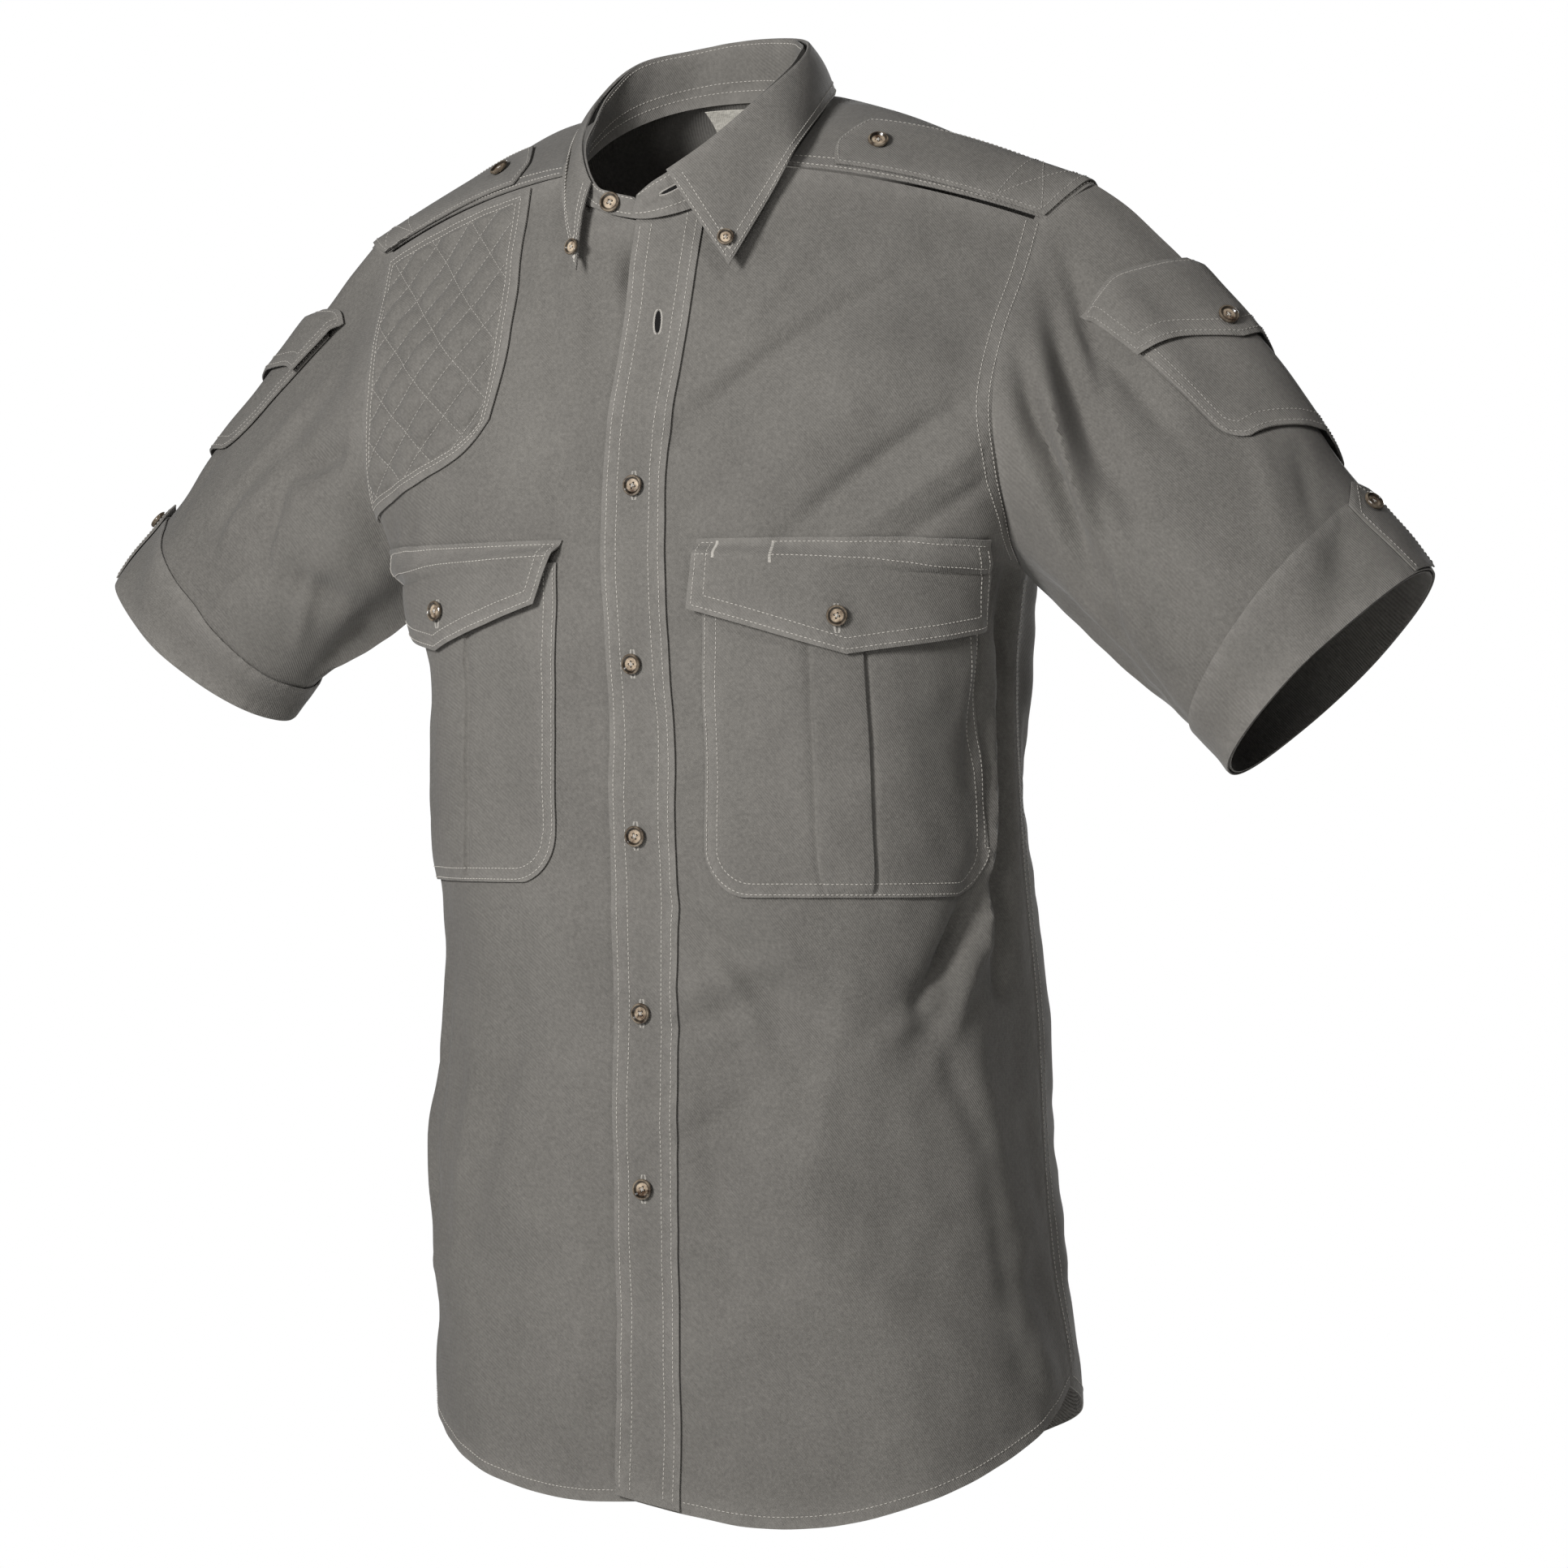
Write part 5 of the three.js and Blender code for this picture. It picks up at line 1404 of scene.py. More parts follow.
def leaf_smooth(turn, down):
    top = edge_at(STAND_TOP, turn)
    centre = np.stack([np.zeros_like(turn), np.full_like(turn, -18.0), top[..., 2]], -1)
    out = unit(top - centre)
    start = top + out * LEAF["roll"] + np.array([0, 0, 1.2])
    point = start + (edge_at(LEAF_EDGE, turn) - start) * down[..., None]
    return point + out * (LEAF["bow"] * np.sin(math.pi * down) * (1 - 0.5 * down))[..., None]


def lifted(surface, a, b, step_a, step_b, lift, way=1):
    a, b = np.broadcast_arrays(np.asarray(a, float), np.asarray(b, float))
    u = surface(a + step_a, b) - surface(a - step_a, b)
    v = surface(a, b + step_b) - surface(a, b - step_b)
    normal = unit(np.cross(u, v)) * way
    return surface(a, b) + normal * np.broadcast_to(lift, a.shape)[..., None]


def stand_at(turn, up, lift=0.0):
    ripple = STAND_RIPPLE * crumple(turn, 12 * up, 3, 24.0)
    ripple = ripple * smooth((turn - 20) / 20) * smooth(up * 4)
    return lifted(stand_smooth, turn, up, 1.0, 0.02, lift + ripple)


def leaf_at(turn, down, lift=0.0):
    return lifted(leaf_smooth, turn, down, 1.0, 0.02, lift, way=-1)


STAND_TUCK = -0.12
up, turn = mesh_grid(np.linspace(STAND_TUCK, 1, 18), np.linspace(-4, 358, 210))
wall("collar_stand_cloth", stand_at(turn, up), BAND, twill_cloth, "collar_stand")
down, turn = mesh_grid(np.linspace(1, 0, 34), np.linspace(12, 335, 200))
wall("collar_leaf_cloth", leaf_at(turn, down), LEAF["thick"], twill_cloth, "collar_leaf")


# %% [markdown]
# The neck label is a small woven rectangle sewn inside the yoke, and it is left blank. The yoke's
# grid runs round the neck, so the label's straight sides are found on it by halving the distance.

# %% Blank neck label
LABEL = dict(half=25.5, long=44, thick=0.6, start=0.04, sunk=0.8)
YOKE_DEPTH = 140


def label_at(x, out):
    low = np.full(np.shape(x), 0.4)
    high = np.ones(np.shape(x))
    for _ in range(24):
        middle = (low + high) / 2
        beyond = yoke_point("left", middle, out)[..., 0] > np.abs(x)
        low, high = np.where(beyond, middle, low), np.where(beyond, high, middle)
    point = on_yoke("left", low, out, -(CLOTH + REST_GAP + LABEL["sunk"]))
    point[..., 0] = x
    return point


label_outs = np.linspace(LABEL["start"], LABEL["start"] + LABEL["long"] / YOKE_DEPTH, 22)
out, x = mesh_grid(label_outs, np.linspace(-LABEL["half"], LABEL["half"], 26))
wall("label_cloth", label_at(x, out), LABEL["thick"], label_cloth, "label", flip=True)


# %% [markdown]
# Stitching. Rows of lockstitch are the strongest sign that this is real clothing: 2.5 mm apart,
# pale on the seams and nearly the cloth's own colour on the quilting. A texture can't follow
# every curved seam, so each stitch is a tiny rounded bar whose ends dip into the cloth. All the
# stitches of an area are one mesh, because thousands of separate objects would be slow.

# %% Stitch maker
STITCH = dict(pitch=2.55, length=1.75, radius=0.26, proud=0.14)
STITCH_RINGS = np.array([[0.0, 0.45, -0.35], [0.22, 1.0, 0.1], [0.78, 1.0, 0.1], [1.0, 0.45, -0.35]])
SIDES = 5


def bars(starts, ends, normals, radius):
    """Rounded bars between pairs of points, bowed up along the normals."""
    count = len(starts)
    axis = unit(ends - starts)
    side = unit(np.cross(axis, normals))
    up = np.cross(side, axis)
    angles = np.linspace(0, 2 * math.pi, SIDES, endpoint=False)
    points = np.zeros((count, len(STITCH_RINGS), SIDES, 3))
    for ring, (place, swell, rise) in enumerate(STITCH_RINGS):
        centre = starts + (ends - starts) * place + normals * (rise * radius * 1.2)
        for k, angle in enumerate(angles):
            around = side * math.cos(angle) + up * math.sin(angle)
            points[:, ring, k] = centre + around * radius * swell
    per_bar = len(STITCH_RINGS) * SIDES
    faces = []
    for ring in range(len(STITCH_RINGS) - 1):
        for k in range(SIDES):
            low, high = ring * SIDES, (ring + 1) * SIDES
            ahead = (k + 1) % SIDES
            faces.append([low + k, low + ahead, high + ahead, high + k])
    first, last = 0, (len(STITCH_RINGS) - 1) * SIDES
    faces.append([first + 3, first + 2, first + 1, first])
    faces.append([first, first + 4, first + 3, first + 3])
    faces.append([last, last + 1, last + 2, last + 3])
    faces.append([last + 3, last + 4, last, last])
    block = np.array(faces)
    shift = (np.arange(count) * per_bar)[:, None, None]
    return points.reshape(-1, 3), (block[None] + shift).reshape(-1, 4)


def row_of(surface, a, b, lift=0.0, way=1):
    """A seam line on a surface: its points and outward normals."""
    a, b = np.broadcast_arrays(np.asarray(a, float), np.asarray(b, float))
    low = surface(a, b, lift)
    high = surface(a, b, lift + way)
    return low, unit(high - low)


def stitched(line, pitch=STITCH["pitch"], length=STITCH["length"]):
    """Start and end points and normals of the stitches along one seam line."""
    points, normals = line
    walked = np.concatenate([[0], np.cumsum(np.linalg.norm(np.diff(points, axis=0), axis=1))])
    starts = np.arange(pitch * 0.3, walked[-1] - length, pitch)

    def spread(places, values):
        return np.stack([np.interp(places, walked, values[:, k]) for k in range(3)], -1)

    middle = unit(spread(starts + length / 2, normals))
    proud = middle * STITCH["proud"]
    return spread(starts, points) + proud, spread(starts + length, points) + proud, middle


def sew(name, lines, material, radius=STITCH["radius"], extra=()):
    """One mesh of all the stitches along some seam lines, and of extra bars such as tacks."""
    sets = [stitched(line) for line in lines] + list(extra)
    starts = np.concatenate([item[0] for item in sets])
    ends = np.concatenate([item[1] for item in sets])
    normals = np.concatenate([item[2] for item in sets])
    points, quads = bars(starts, ends, normals, radius)
    mesh = bpy.data.meshes.new(name)
    faces = [list(dict.fromkeys(face)) for face in quads.tolist()]
    mesh.from_pydata((points * MM).tolist(), [], faces)
    mesh.shade_smooth()
    print(name, "has", len(starts), "stitches")
    return add_piece(name, mesh, material)


TACK_PROUD = 0.1


def bar_tack(surface, a, b, direction, width, count):
    """A dense block of short threads that strengthens one place of a seam."""
    (da, db), (wa, wb) = direction, width
    places = np.linspace(-0.5, 0.5, count)
    a, b = a + da * places, b + db * places
    low = surface(a - wa / 2, b - wb / 2, TACK_PROUD)
    high = surface(a + wa / 2, b + wb / 2, TACK_PROUD)
    up = unit(surface(a, b, TACK_PROUD + 1) - surface(a, b, TACK_PROUD))
    return low, high, up


def sided(surface, side, offset=0.0):
    """A surface of one side, with a fixed offset off the cloth added to every lift."""
    def place(a, b, lift=0.0):
        return surface(side, a, b, offset + lift)

    return place


def line_between(*corners, count=60):
    """Two coordinate lists that walk straight from corner to corner."""
    pairs = [np.linspace(start, end, count) for start, end in zip(corners[:-1], corners[1:])]
    walk = np.concatenate(pairs)
    return walk[:, 0], walk[:, 1]


# %% [markdown]
# Seam rows of the body: both edges of the placket, the hems, the armholes and the side seams, in
# pairs a quarter of an inch apart, as a two-needle machine leaves them.

# %% Stitch rows of the body
NEEDLES = (2.4, 8.8)
HEM_STITCH = 6.5
PLACKET_ROWS = (0.085, 0.25, 0.765, 0.913)


def left_front(across, row, lift=0.0):
    return front_point("left", across, row, lift)


def right_front(across, row, lift=0.0):
    return front_point("right", across, row, lift)


def back_panel(across, row, lift):
    return on_body("back", across, row, lift)


body_rows = []
band_ups = np.linspace(0.006, 1 - 0.003, 420)
for share in PLACKET_ROWS:
    body_rows.append(row_of(placket_at, np.full(band_ups.shape, share), band_ups))
for sign, side, surface in ((1, "left", left_front), (-1, "right", right_front)):
    shares = np.linspace(0.14 if side == "left" else 0.02, 0.995, 200)
    row = front_hem(side, shares) + HEM_STITCH
    end = sign * reach("front", row)
    body_rows.append(row_of(surface, mix(front_edge(side, row), end, shares), row))
    rows = np.linspace(YOKE_ROW - 1.0, ARMPIT + 4, 220)
    for inset in NEEDLES:
        if side == "left":
            body_rows.append(row_of(surface, sign * (reach("front", rows) - inset), rows))
    for rows in (np.linspace(BACK_SEAM - 1.0, ARMPIT + 4, 160), np.linspace(ARMPIT - 4, -648, 260)):
        for inset in NEEDLES:
            body_rows.append(row_of(back_panel, sign * (reach("back", rows) - inset), rows))
shares = np.linspace(-0.99, 0.99, 400)
row = back_hem(np.abs(shares)) + HEM_STITCH
body_rows.append(row_of(back_panel, shares * reach("back", row), row))
sew("body_stitching", body_rows, pale_thread)


# %% Stitch rows of the yoke and epaulettes
def yoke_pace(side, around, out):
    ahead = yoke_point(side, around + 0.02, out)
    return np.linalg.norm(ahead - yoke_point(side, around - 0.02, out), axis=-1) / 0.04


# Along the armhole, then along the back seam
YOKE_RUNS = ((0.03, 0.615), (0.625, 1.0))
yoke_rows = []
strap_rows = []
for side in ("left", "right"):
    surface = sided(on_yoke, side, YOKE_LAP)
    outs = np.linspace(0.03, 0.985, 140)
    for inset in NEEDLES:
        arounds = SEAM_EASE + inset / yoke_pace(side, np.full(outs.shape, 0.03), outs)
        yoke_rows.append(row_of(surface, arounds, outs))
        for start, end in YOKE_RUNS:
            arounds = np.linspace(start, end, 120)
            outermost = yoke_point(side, arounds, 1.0) - yoke_point(side, arounds, 0.9)
            length = np.linalg.norm(outermost, axis=-1) * 10
            yoke_rows.append(row_of(surface, arounds, 1 - inset / length))
    strap = sided(epaulette_at, side)
    edge_over = 1 - 2.6 / EPAULETTE["half"]
    outline = [(edge_over, 0.99), (edge_over, 0.05), (0, 0.025), (-edge_over, 0.05), (-edge_over, 0.99)]
    strap_rows.append(row_of(strap, *line_between(*outline)))
    box_low, box_high = 0.80, 0.975
    for corners in (
        [(edge_over, box_low), (-edge_over, box_low)],
        [(edge_over, box_low), (-edge_over, box_high)],
        [(edge_over, box_high), (-edge_over, box_low)],
        [(edge_over, box_high), (-edge_over, box_high)],
    ):
        strap_rows.append(row_of(strap, *line_between(*corners)))
sew("shoulder_stitching", yoke_rows, pale_thread)
sew("epaulette_stitching", strap_rows, tonal_thread)


# %% [markdown]
# A chest pocket has two rows round it and its flap two along each edge. The left flap's top rows
# leave a gap for a pen, with a bar tack at either end, because a row sewn across would close it.

# %% Stitch rows of the chest pockets
pocket_rows = []
tacks = []


def pocket_share(side, across, row):
    pocket = POCKETS[side]
    up = (row - pocket["low"]) / (POCKET["top"] - pocket["low"])
    inset = corner_inset(row - pocket["low"] + 0.6, POCKET["corner"])
    inner, outer = pocket_sides(pocket, up, inset)
    return (across - inner) / (outer - inner), up


def pocket_border(side, inset):
    """Down the inner side, round both lower corners and up the outer side."""
    pocket = POCKETS[side]
    radius = POCKET["corner"] - inset
    low, corner = pocket["low"], POCKET["corner"]
    arc = np.linspace(0, math.pi / 2, 30)
    side_rows = np.linspace(POCKET["top"] - 2, low + corner, 90)
    up = (side_rows - low) / (POCKET["top"] - low)
    inner, outer = pocket_sides(pocket, up, inset)
    inner_arc = pocket["inner_low"] + corner - radius * np.cos(arc)
    outer_arc = pocket["outer_low"] - corner + radius * np.cos(arc[::-1])
    arc_rows = low + corner - radius * np.sin(arc)
    across = np.concatenate([inner, inner_arc, outer_arc, outer[::-1]])
    row = np.concatenate([side_rows, arc_rows, arc_rows[::-1], side_rows[::-1]])
    return respace(np.stack([across, row, np.zeros_like(row)], -1), 500)[:, :2].T


def flap_border(side, inset):
    """Down one side of the flap, along its pointed edge and up the other side."""
    flap = FLAPS[side]
    width = flap["outer"] - flap["inner_top"]
    share = inset / width
    heights = [flap["top"] - flap[key] for key in ("inner", "point", "outer_z")]
    ups = [inset / height for height in heights]
    top = 1 - 2.2 / heights[0]
    corners = [(share, top), (share, ups[0]), (0.5, ups[1]), (1 - share, ups[2]), (1 - share, top)]
    return line_between(*corners, count=90)


FLAP_NEEDLES = (2.6, 8.6)
FLAP_TOP_ROWS = (2.2, 8.2)
PEN_SLOT = (0.075, 0.265)
PEN_TACK = 1.9
POCKET_NEEDLES = (1.6, 7.4)


def flap_row_up(flap, below, share):
    """How far up the flap a row lies that runs a fixed distance below its top edge."""
    half = np.minimum(share, 1 - share) * 2
    return 1 - below / (flap["top"] - mix(flap["inner"], flap["point"], half))


for side in ("left", "right"):
    on_pocket = sided(pocket_at, side)
    on_flap = sided(flap_at, side)
    for inset in POCKET_NEEDLES:
        across, row = pocket_border(side, inset)
        share, up = pocket_share(side, across, row)
        pocket_rows.append(row_of(on_pocket, share, up))
    for inset in FLAP_NEEDLES:
        pocket_rows.append(row_of(on_flap, *flap_border(side, inset)))
    flap = FLAPS[side]
    width = flap["outer"] - flap["inner_top"]
    for below in FLAP_TOP_ROWS:
        spans = [(0.015, PEN_SLOT[0]), (PEN_SLOT[1], 0.985)] if side == "left" else [(0.015, 0.985)]
        for low, high in spans:
            share = np.linspace(low, high, 120)
            pocket_rows.append(row_of(on_flap, share, flap_row_up(flap, below, share)))
    if side == "left":
        for share in PEN_SLOT:
            height = flap["top"] - flap["inner"]
            middle = 1 - sum(FLAP_TOP_ROWS) / 2 / height
            tall = (FLAP_TOP_ROWS[1] - FLAP_TOP_ROWS[0] + 1.6) / height
            tacks.append(bar_tack(on_flap, share, middle, (0, tall), (PEN_TACK / width, 0), 20))
sew("pocket_stitching", pocket_rows, pale_thread, extra=tacks)

# %% [markdown]
# The patch has a pair of pale rows round its border and a tonal diamond net in its valleys. Each
# line of the net is followed across the whole patch and kept only where it lies well inside.

# %% Stitch rows of the patch
PATCH_NEEDLES = (5.2, 8.4)
PATCH_CUT = dict(wide=118.0, tall=165.0)
NET_PROUD = 0.1
NET_MARGIN = dict(out=0.07, up=0.05)
NET_ACROSS = (70, 235)
FEWEST_POINTS = 8


def patch_surface(out, up, lift):
    return patch_at(out, up, lift + NET_PROUD)


def patch_border(inset):
    a, b = inset / PATCH_CUT["wide"], inset / PATCH_CUT["tall"]
    return line_between((a, 1 - b), (a, b), (1 - a, b), (1 - a, 1 - b), (a, 1 - b), count=160)


patch_rows = [row_of(patch_surface, *patch_border(inset)) for inset in PATCH_NEEDLES]
sew("patch_border_stitching", patch_rows, pale_thread)


def inside_patch(across, row):
    """Shares out and up the patch, found by turns, because each depends on the other."""
    middle_low = read(PATCH_LOW, "out", 0.5, "z")
    up = np.clip((row - middle_low) / (PATCH["top"] - middle_low), 0, 1)
    out = np.zeros(np.shape(row))
    for _ in range(4):
        inner = read(PATCH_INNER, "up", up, "across")
        end = reach("front", row) - PATCH["seam"]
        out = (across - inner) / (end - inner)
        low = read(PATCH_LOW, "out", np.clip(out, 0, 1), "z")
        up = (row - low) / (PATCH["top"] - low)
    return out, up


quilt_rows = []
for net, way in ((NET_FALLING, 1), (NET_RISING, -1)):
    for number in range(-10, 20):
        row = np.linspace(-190, 0, 260)
        across = net["wide"] * (number - way * row / net["tall"])
        keep = (across > NET_ACROSS[0]) & (across < NET_ACROSS[1])
        if keep.sum() < FEWEST_POINTS:
            continue
        across, line = across[keep], row[keep]
        out, up = inside_patch(across, line)
        within = (out > NET_MARGIN["out"]) & (out < 1 - NET_MARGIN["out"])
        within = within & (up > NET_MARGIN["up"]) & (up < 1 - NET_MARGIN["up"])
        if within.sum() < FEWEST_POINTS:
            continue
        quilt_rows.append(row_of(patch_surface, out[within], up[within]))
sew("quilting_stitching", quilt_rows, tonal_thread)


# %% [markdown]
# The collar is topstitched in two rows along the leaf's three free edges. Rows at an even distance
# need the leaf's real depth at each place, so the surface is measured first.

# %% Stitch rows of the collar
LEAF_NEEDLES = (1.6, 6.6)


def stand_inside(turn, up, lift):
    return stand_at(turn, up, -BAND - lift)


collar_rows = []
turns = np.linspace(13.2, 333.8, 420)
leaf_fall = leaf_smooth(turns, np.ones_like(turns)) - leaf_smooth(turns, np.zeros_like(turns))
leaf_down = np.linalg.norm(leaf_fall, axis=-1)
for inset in LEAF_NEEDLES:
    collar_rows.append(row_of(leaf_at, turns, 1 - inset / leaf_down))
    for end, way in ((12.0, 1), (335.0, -1)):
        downs = np.linspace(0.10, 1 - inset / 60, 50)
        edge_line = leaf_smooth(np.full_like(downs, end), downs)
        pace = np.linalg.norm(leaf_smooth(np.full_like(downs, end + way), downs) - edge_line, axis=-1)
        collar_rows.append(row_of(leaf_at, end + way * inset / pace, downs))
front_turns = np.linspace(-3, 30, 50)
far_turns = np.linspace(322, 357, 50)
for turns in (front_turns, far_turns):
    for up in (0.09, 0.88):
        collar_rows.append(row_of(stand_at, turns, np.full(turns.shape, up)))
inside_turns = np.linspace(32, 320, 380)
for up in (0.10, 0.27, 0.93):
    collar_rows.append(row_of(stand_inside, inside_turns, np.full(inside_turns.shape, up)))
sew("collar_stitching", collar_rows, pale_thread)


# %% [markdown]
# The sleeve pockets, flaps and tabs are sewn in thread that nearly matches the cloth. Its darker tone here
# is partly painted shade, for stitches sunk in shaded dips of the cloth.

# %% Stitch rows of the sleeves
ARM_NEEDLES = (2.0, 7.2)
sleeve_rows = []
for side in ("left", "right"):
    on_arm_pocket = sided(arm_pocket_at, side)
    on_arm_flap = sided(arm_flap_at, side)
    on_tab = sided(tab_at, side)
    for inset in ARM_NEEDLES:
        over = 1 - inset / (ARM_POCKET["half"] * 1.45)
        low = inset / (ARM_POCKET["low"] - ARM_POCKET["top"])
        walk = line_between((over, 0.98), (over, low + 0.06), (over - 0.07, low), (-over + 0.07, low),
                            (-over, low + 0.06), (-over, 0.98))
        sleeve_rows.append(row_of(on_arm_pocket, *walk))
        over = 1 - inset / (ARM_FLAP["half"] * 1.45)
        side_up = inset / (ARM_FLAP["low"] - ARM_FLAP["top"])
        point_up = inset / (ARM_FLAP["point"] - ARM_FLAP["top"])
        walk = line_between((over, 0.94), (over, side_up), (0, point_up), (-over, side_up),
                            (-over, 0.94), (over, 0.94))
        sleeve_rows.append(row_of(on_arm_flap, *walk))
    over = 1 - 2.4 / (TAB["half"] * 1.25)
    walk = line_between((over, 0.02), (over, 0.84), (0, 0.95), (-over, 0.84), (-over, 0.02))
    sleeve_rows.append(row_of(on_tab, *walk))
sew("sleeve_stitching", sleeve_rows, tonal_thread)


# %% [markdown]
# Buttons. Each is a turned resin disc with a raised rim, a dished middle and four holes, marbled
# like horn. The lathe profile is spun here and the holes are cut with a Boolean modifier on one
# template; every button is then a moved copy of that mesh, so they match as bought buttons do.

# %% Button template
BUTTON_RADIUS = 5.7
SEAT = 0.5
BUTTON_PROFILE = [
    (0.01, 0.0), (3.6, 0.0), (5.0, 0.4), (5.6, 1.1), (5.7, 1.75), (5.5, 2.3), (5.1, 2.58),
    (4.65, 2.58), (4.25, 2.3), (3.95, 1.8), (3.6, 1.5), (2.6, 1.5), (0.01, 1.6),
]
HOLE = dict(radius=0.62, out=1.15)
SPIN = 56


def button_template():
    profile = np.array(BUTTON_PROFILE)
    angles = np.linspace(0, 2 * math.pi, SPIN, endpoint=False)
    rings = [[(r * math.cos(a), r * math.sin(a), h) for a in angles] for r, h in profile]
    points = [point for ring in rings for point in ring]
    faces = []
    for i in range(len(profile) - 1):
        for k in range(SPIN):
            ahead = (k + 1) % SPIN
            faces.append([i * SPIN + k, i * SPIN + ahead, (i + 1) * SPIN + ahead, (i + 1) * SPIN + k])
    faces.append(list(range(SPIN))[::-1])
    faces.append([(len(profile) - 1) * SPIN + k for k in range(SPIN)])
    mesh = bpy.data.meshes.new("button_template")
    mesh.from_pydata(points, [], faces)
    disc = bpy.data.objects.new("button_template", mesh)
    bpy.context.scene.collection.objects.link(disc)
    cutters = []
    for k in range(4):
        angle = math.pi / 4 + k * math.pi / 2
        place = (HOLE["out"] * 1.2 * math.cos(angle), HOLE["out"] * 1.2 * math.sin(angle), 1)
        bpy.ops.mesh.primitive_cylinder_add(vertices=16, radius=HOLE["radius"], depth=6, location=place)
        cutter = bpy.context.object
        cutters.append(cutter)
        cut = disc.modifiers.new("hole", "BOOLEAN")
        cut.operation = "DIFFERENCE"
        cut.solver = "EXACT"
        cut.object = cutter
    shape = disc.evaluated_get(bpy.context.evaluated_depsgraph_get())
    result = bpy.data.meshes.new_from_object(shape)
    for thing in [disc, *cutters]:
        bpy.data.objects.remove(thing)
    return result


BUTTON_MESH = button_template()
print("button template faces:", len(BUTTON_MESH.polygons))


# %% [markdown]
# The horn finish. Resin buttons are marbled brown and cream, pale in the middle; the dark band in the
# groove is painted shade. The bands follow the distance from the middle, stored on each button's points.

# %% Horn finish
def horn_and_groove_shade_group():
    group, entry, leave = node_group(
        "marbled_horn_and_groove_shade",
        [
            ("Place", VECTOR, None),
            ("Ring", VALUE, 0.0),
            ("Brown", COLOUR, (0.055, 0.034, 0.022, 1)),
            ("Cream", COLOUR, (0.42, 0.35, 0.27, 1)),
            ("Vein Scale", VALUE, 170.0),
        ],
        [("Color", COLOUR)],
    )
    veins = noise_node(group, entry.outputs["Place"], entry.outputs["Vein Scale"], 4, 0.6)
    spread = group.nodes.new("ShaderNodeMapRange")
    spread.inputs["From Min"].default_value = 0.36
    spread.inputs["From Max"].default_value = 0.62
    group.links.new(veins, spread.inputs["Value"])
    marbled = mix_colours(group, spread.outputs["Result"], entry.outputs["Brown"], entry.outputs["Cream"])
    tone_and_groove_shade = group.nodes.new("ShaderNodeValToRGB")
    tone_and_groove_shade.color_ramp.interpolation = "EASE"
    stops = tone_and_groove_shade.color_ramp.elements
    stops[0].position, stops[0].color = 0.0, (1.3, 1.25, 1.2, 1)
    stops[1].position, stops[1].color = 1.0, (0.3, 0.28, 0.25, 1)
    # Pale middle, painted shade in the groove from 0.68 to 0.78, then the darker rim.
    for position, shade in ((0.55, 1.2), (0.68, 0.12), (0.78, 0.15), (0.86, 0.6), (0.93, 0.5)):
        stop = stops.new(position)
        stop.color = (shade, shade * 0.97, shade * 0.93, 1)
    group.links.new(entry.outputs["Ring"], tone_and_groove_shade.inputs["Fac"])
    shaded = mix_colours(group, 1, marbled, tone_and_groove_shade.outputs["Color"], "MULTIPLY")
    group.links.new(shaded, leave.inputs["Color"])
    return group


HORN_AND_GROOVE_SHADE = horn_and_groove_shade_group()
button_horn = bpy.data.materials.new("button_horn")
button_horn.use_nodes = True
tree = button_horn.node_tree
shader = tree.nodes["Principled BSDF"]
place = tree.nodes.new("ShaderNodeTexCoord").outputs["Object"]
ring = tree.nodes.new("ShaderNodeAttribute")
ring.attribute_name = "ring"
horn = place_group(tree, HORN_AND_GROOVE_SHADE, place, {})
tree.links.new(ring.outputs["Fac"], horn.inputs["Ring"])
tree.links.new(horn.outputs["Color"], shader.inputs["Base Color"])
scuffs = noise_node(tree, place, 900.0, 3)
rough = tree.nodes.new("ShaderNodeMapRange")
rough.inputs["To Min"].default_value = 0.12
rough.inputs["To Max"].default_value = 0.3
tree.links.new(scuffs, rough.inputs["Value"])
tree.links.new(rough.outputs["Result"], shader.inputs["Roughness"])
tree.links.new(bump(tree, scuffs, 0.00003), shader.inputs["Normal"])
shader.inputs["Coat Weight"].default_value = 0.3
shader.inputs["Coat Roughness"].default_value = 0.08


# %% [markdown]
# Each button is placed where the model has it: on its cloth, square to the surface. The holes get
# a cross of thread, and each fastened button shows the ends of its buttonhole above and below.

# %% Placing the buttons
template_points = np.zeros(len(BUTTON_MESH.vertices) * 3)
BUTTON_MESH.vertices.foreach_get("co", template_points)
template_points = template_points.reshape(-1, 3)
template_faces = [list(face.vertices) for face in BUTTON_MESH.polygons]
placed_buttons = []
button_threads = []
TURN_EACH = 23
BUTTON_SHARP = 32
THREAD_HEIGHT = 1.62
THREAD_CROSSING = 0.12


def surface_frame(surface, a, b, step, away):
    a, b = np.array([float(a)]), np.array([float(b)])
    u = surface(a + step, b) - surface(a - step, b)
    v = surface(a, b + step) - surface(a, b - step)
    point = surface(a, b)[0]
    normal = unit(np.cross(u, v))[0]
    if np.dot(normal, point - np.array(away, float)) < 0:
        normal = -normal
    upright = unit(np.array([0, 0, 1.0]) - normal * normal[2])
    return point, normal, upright


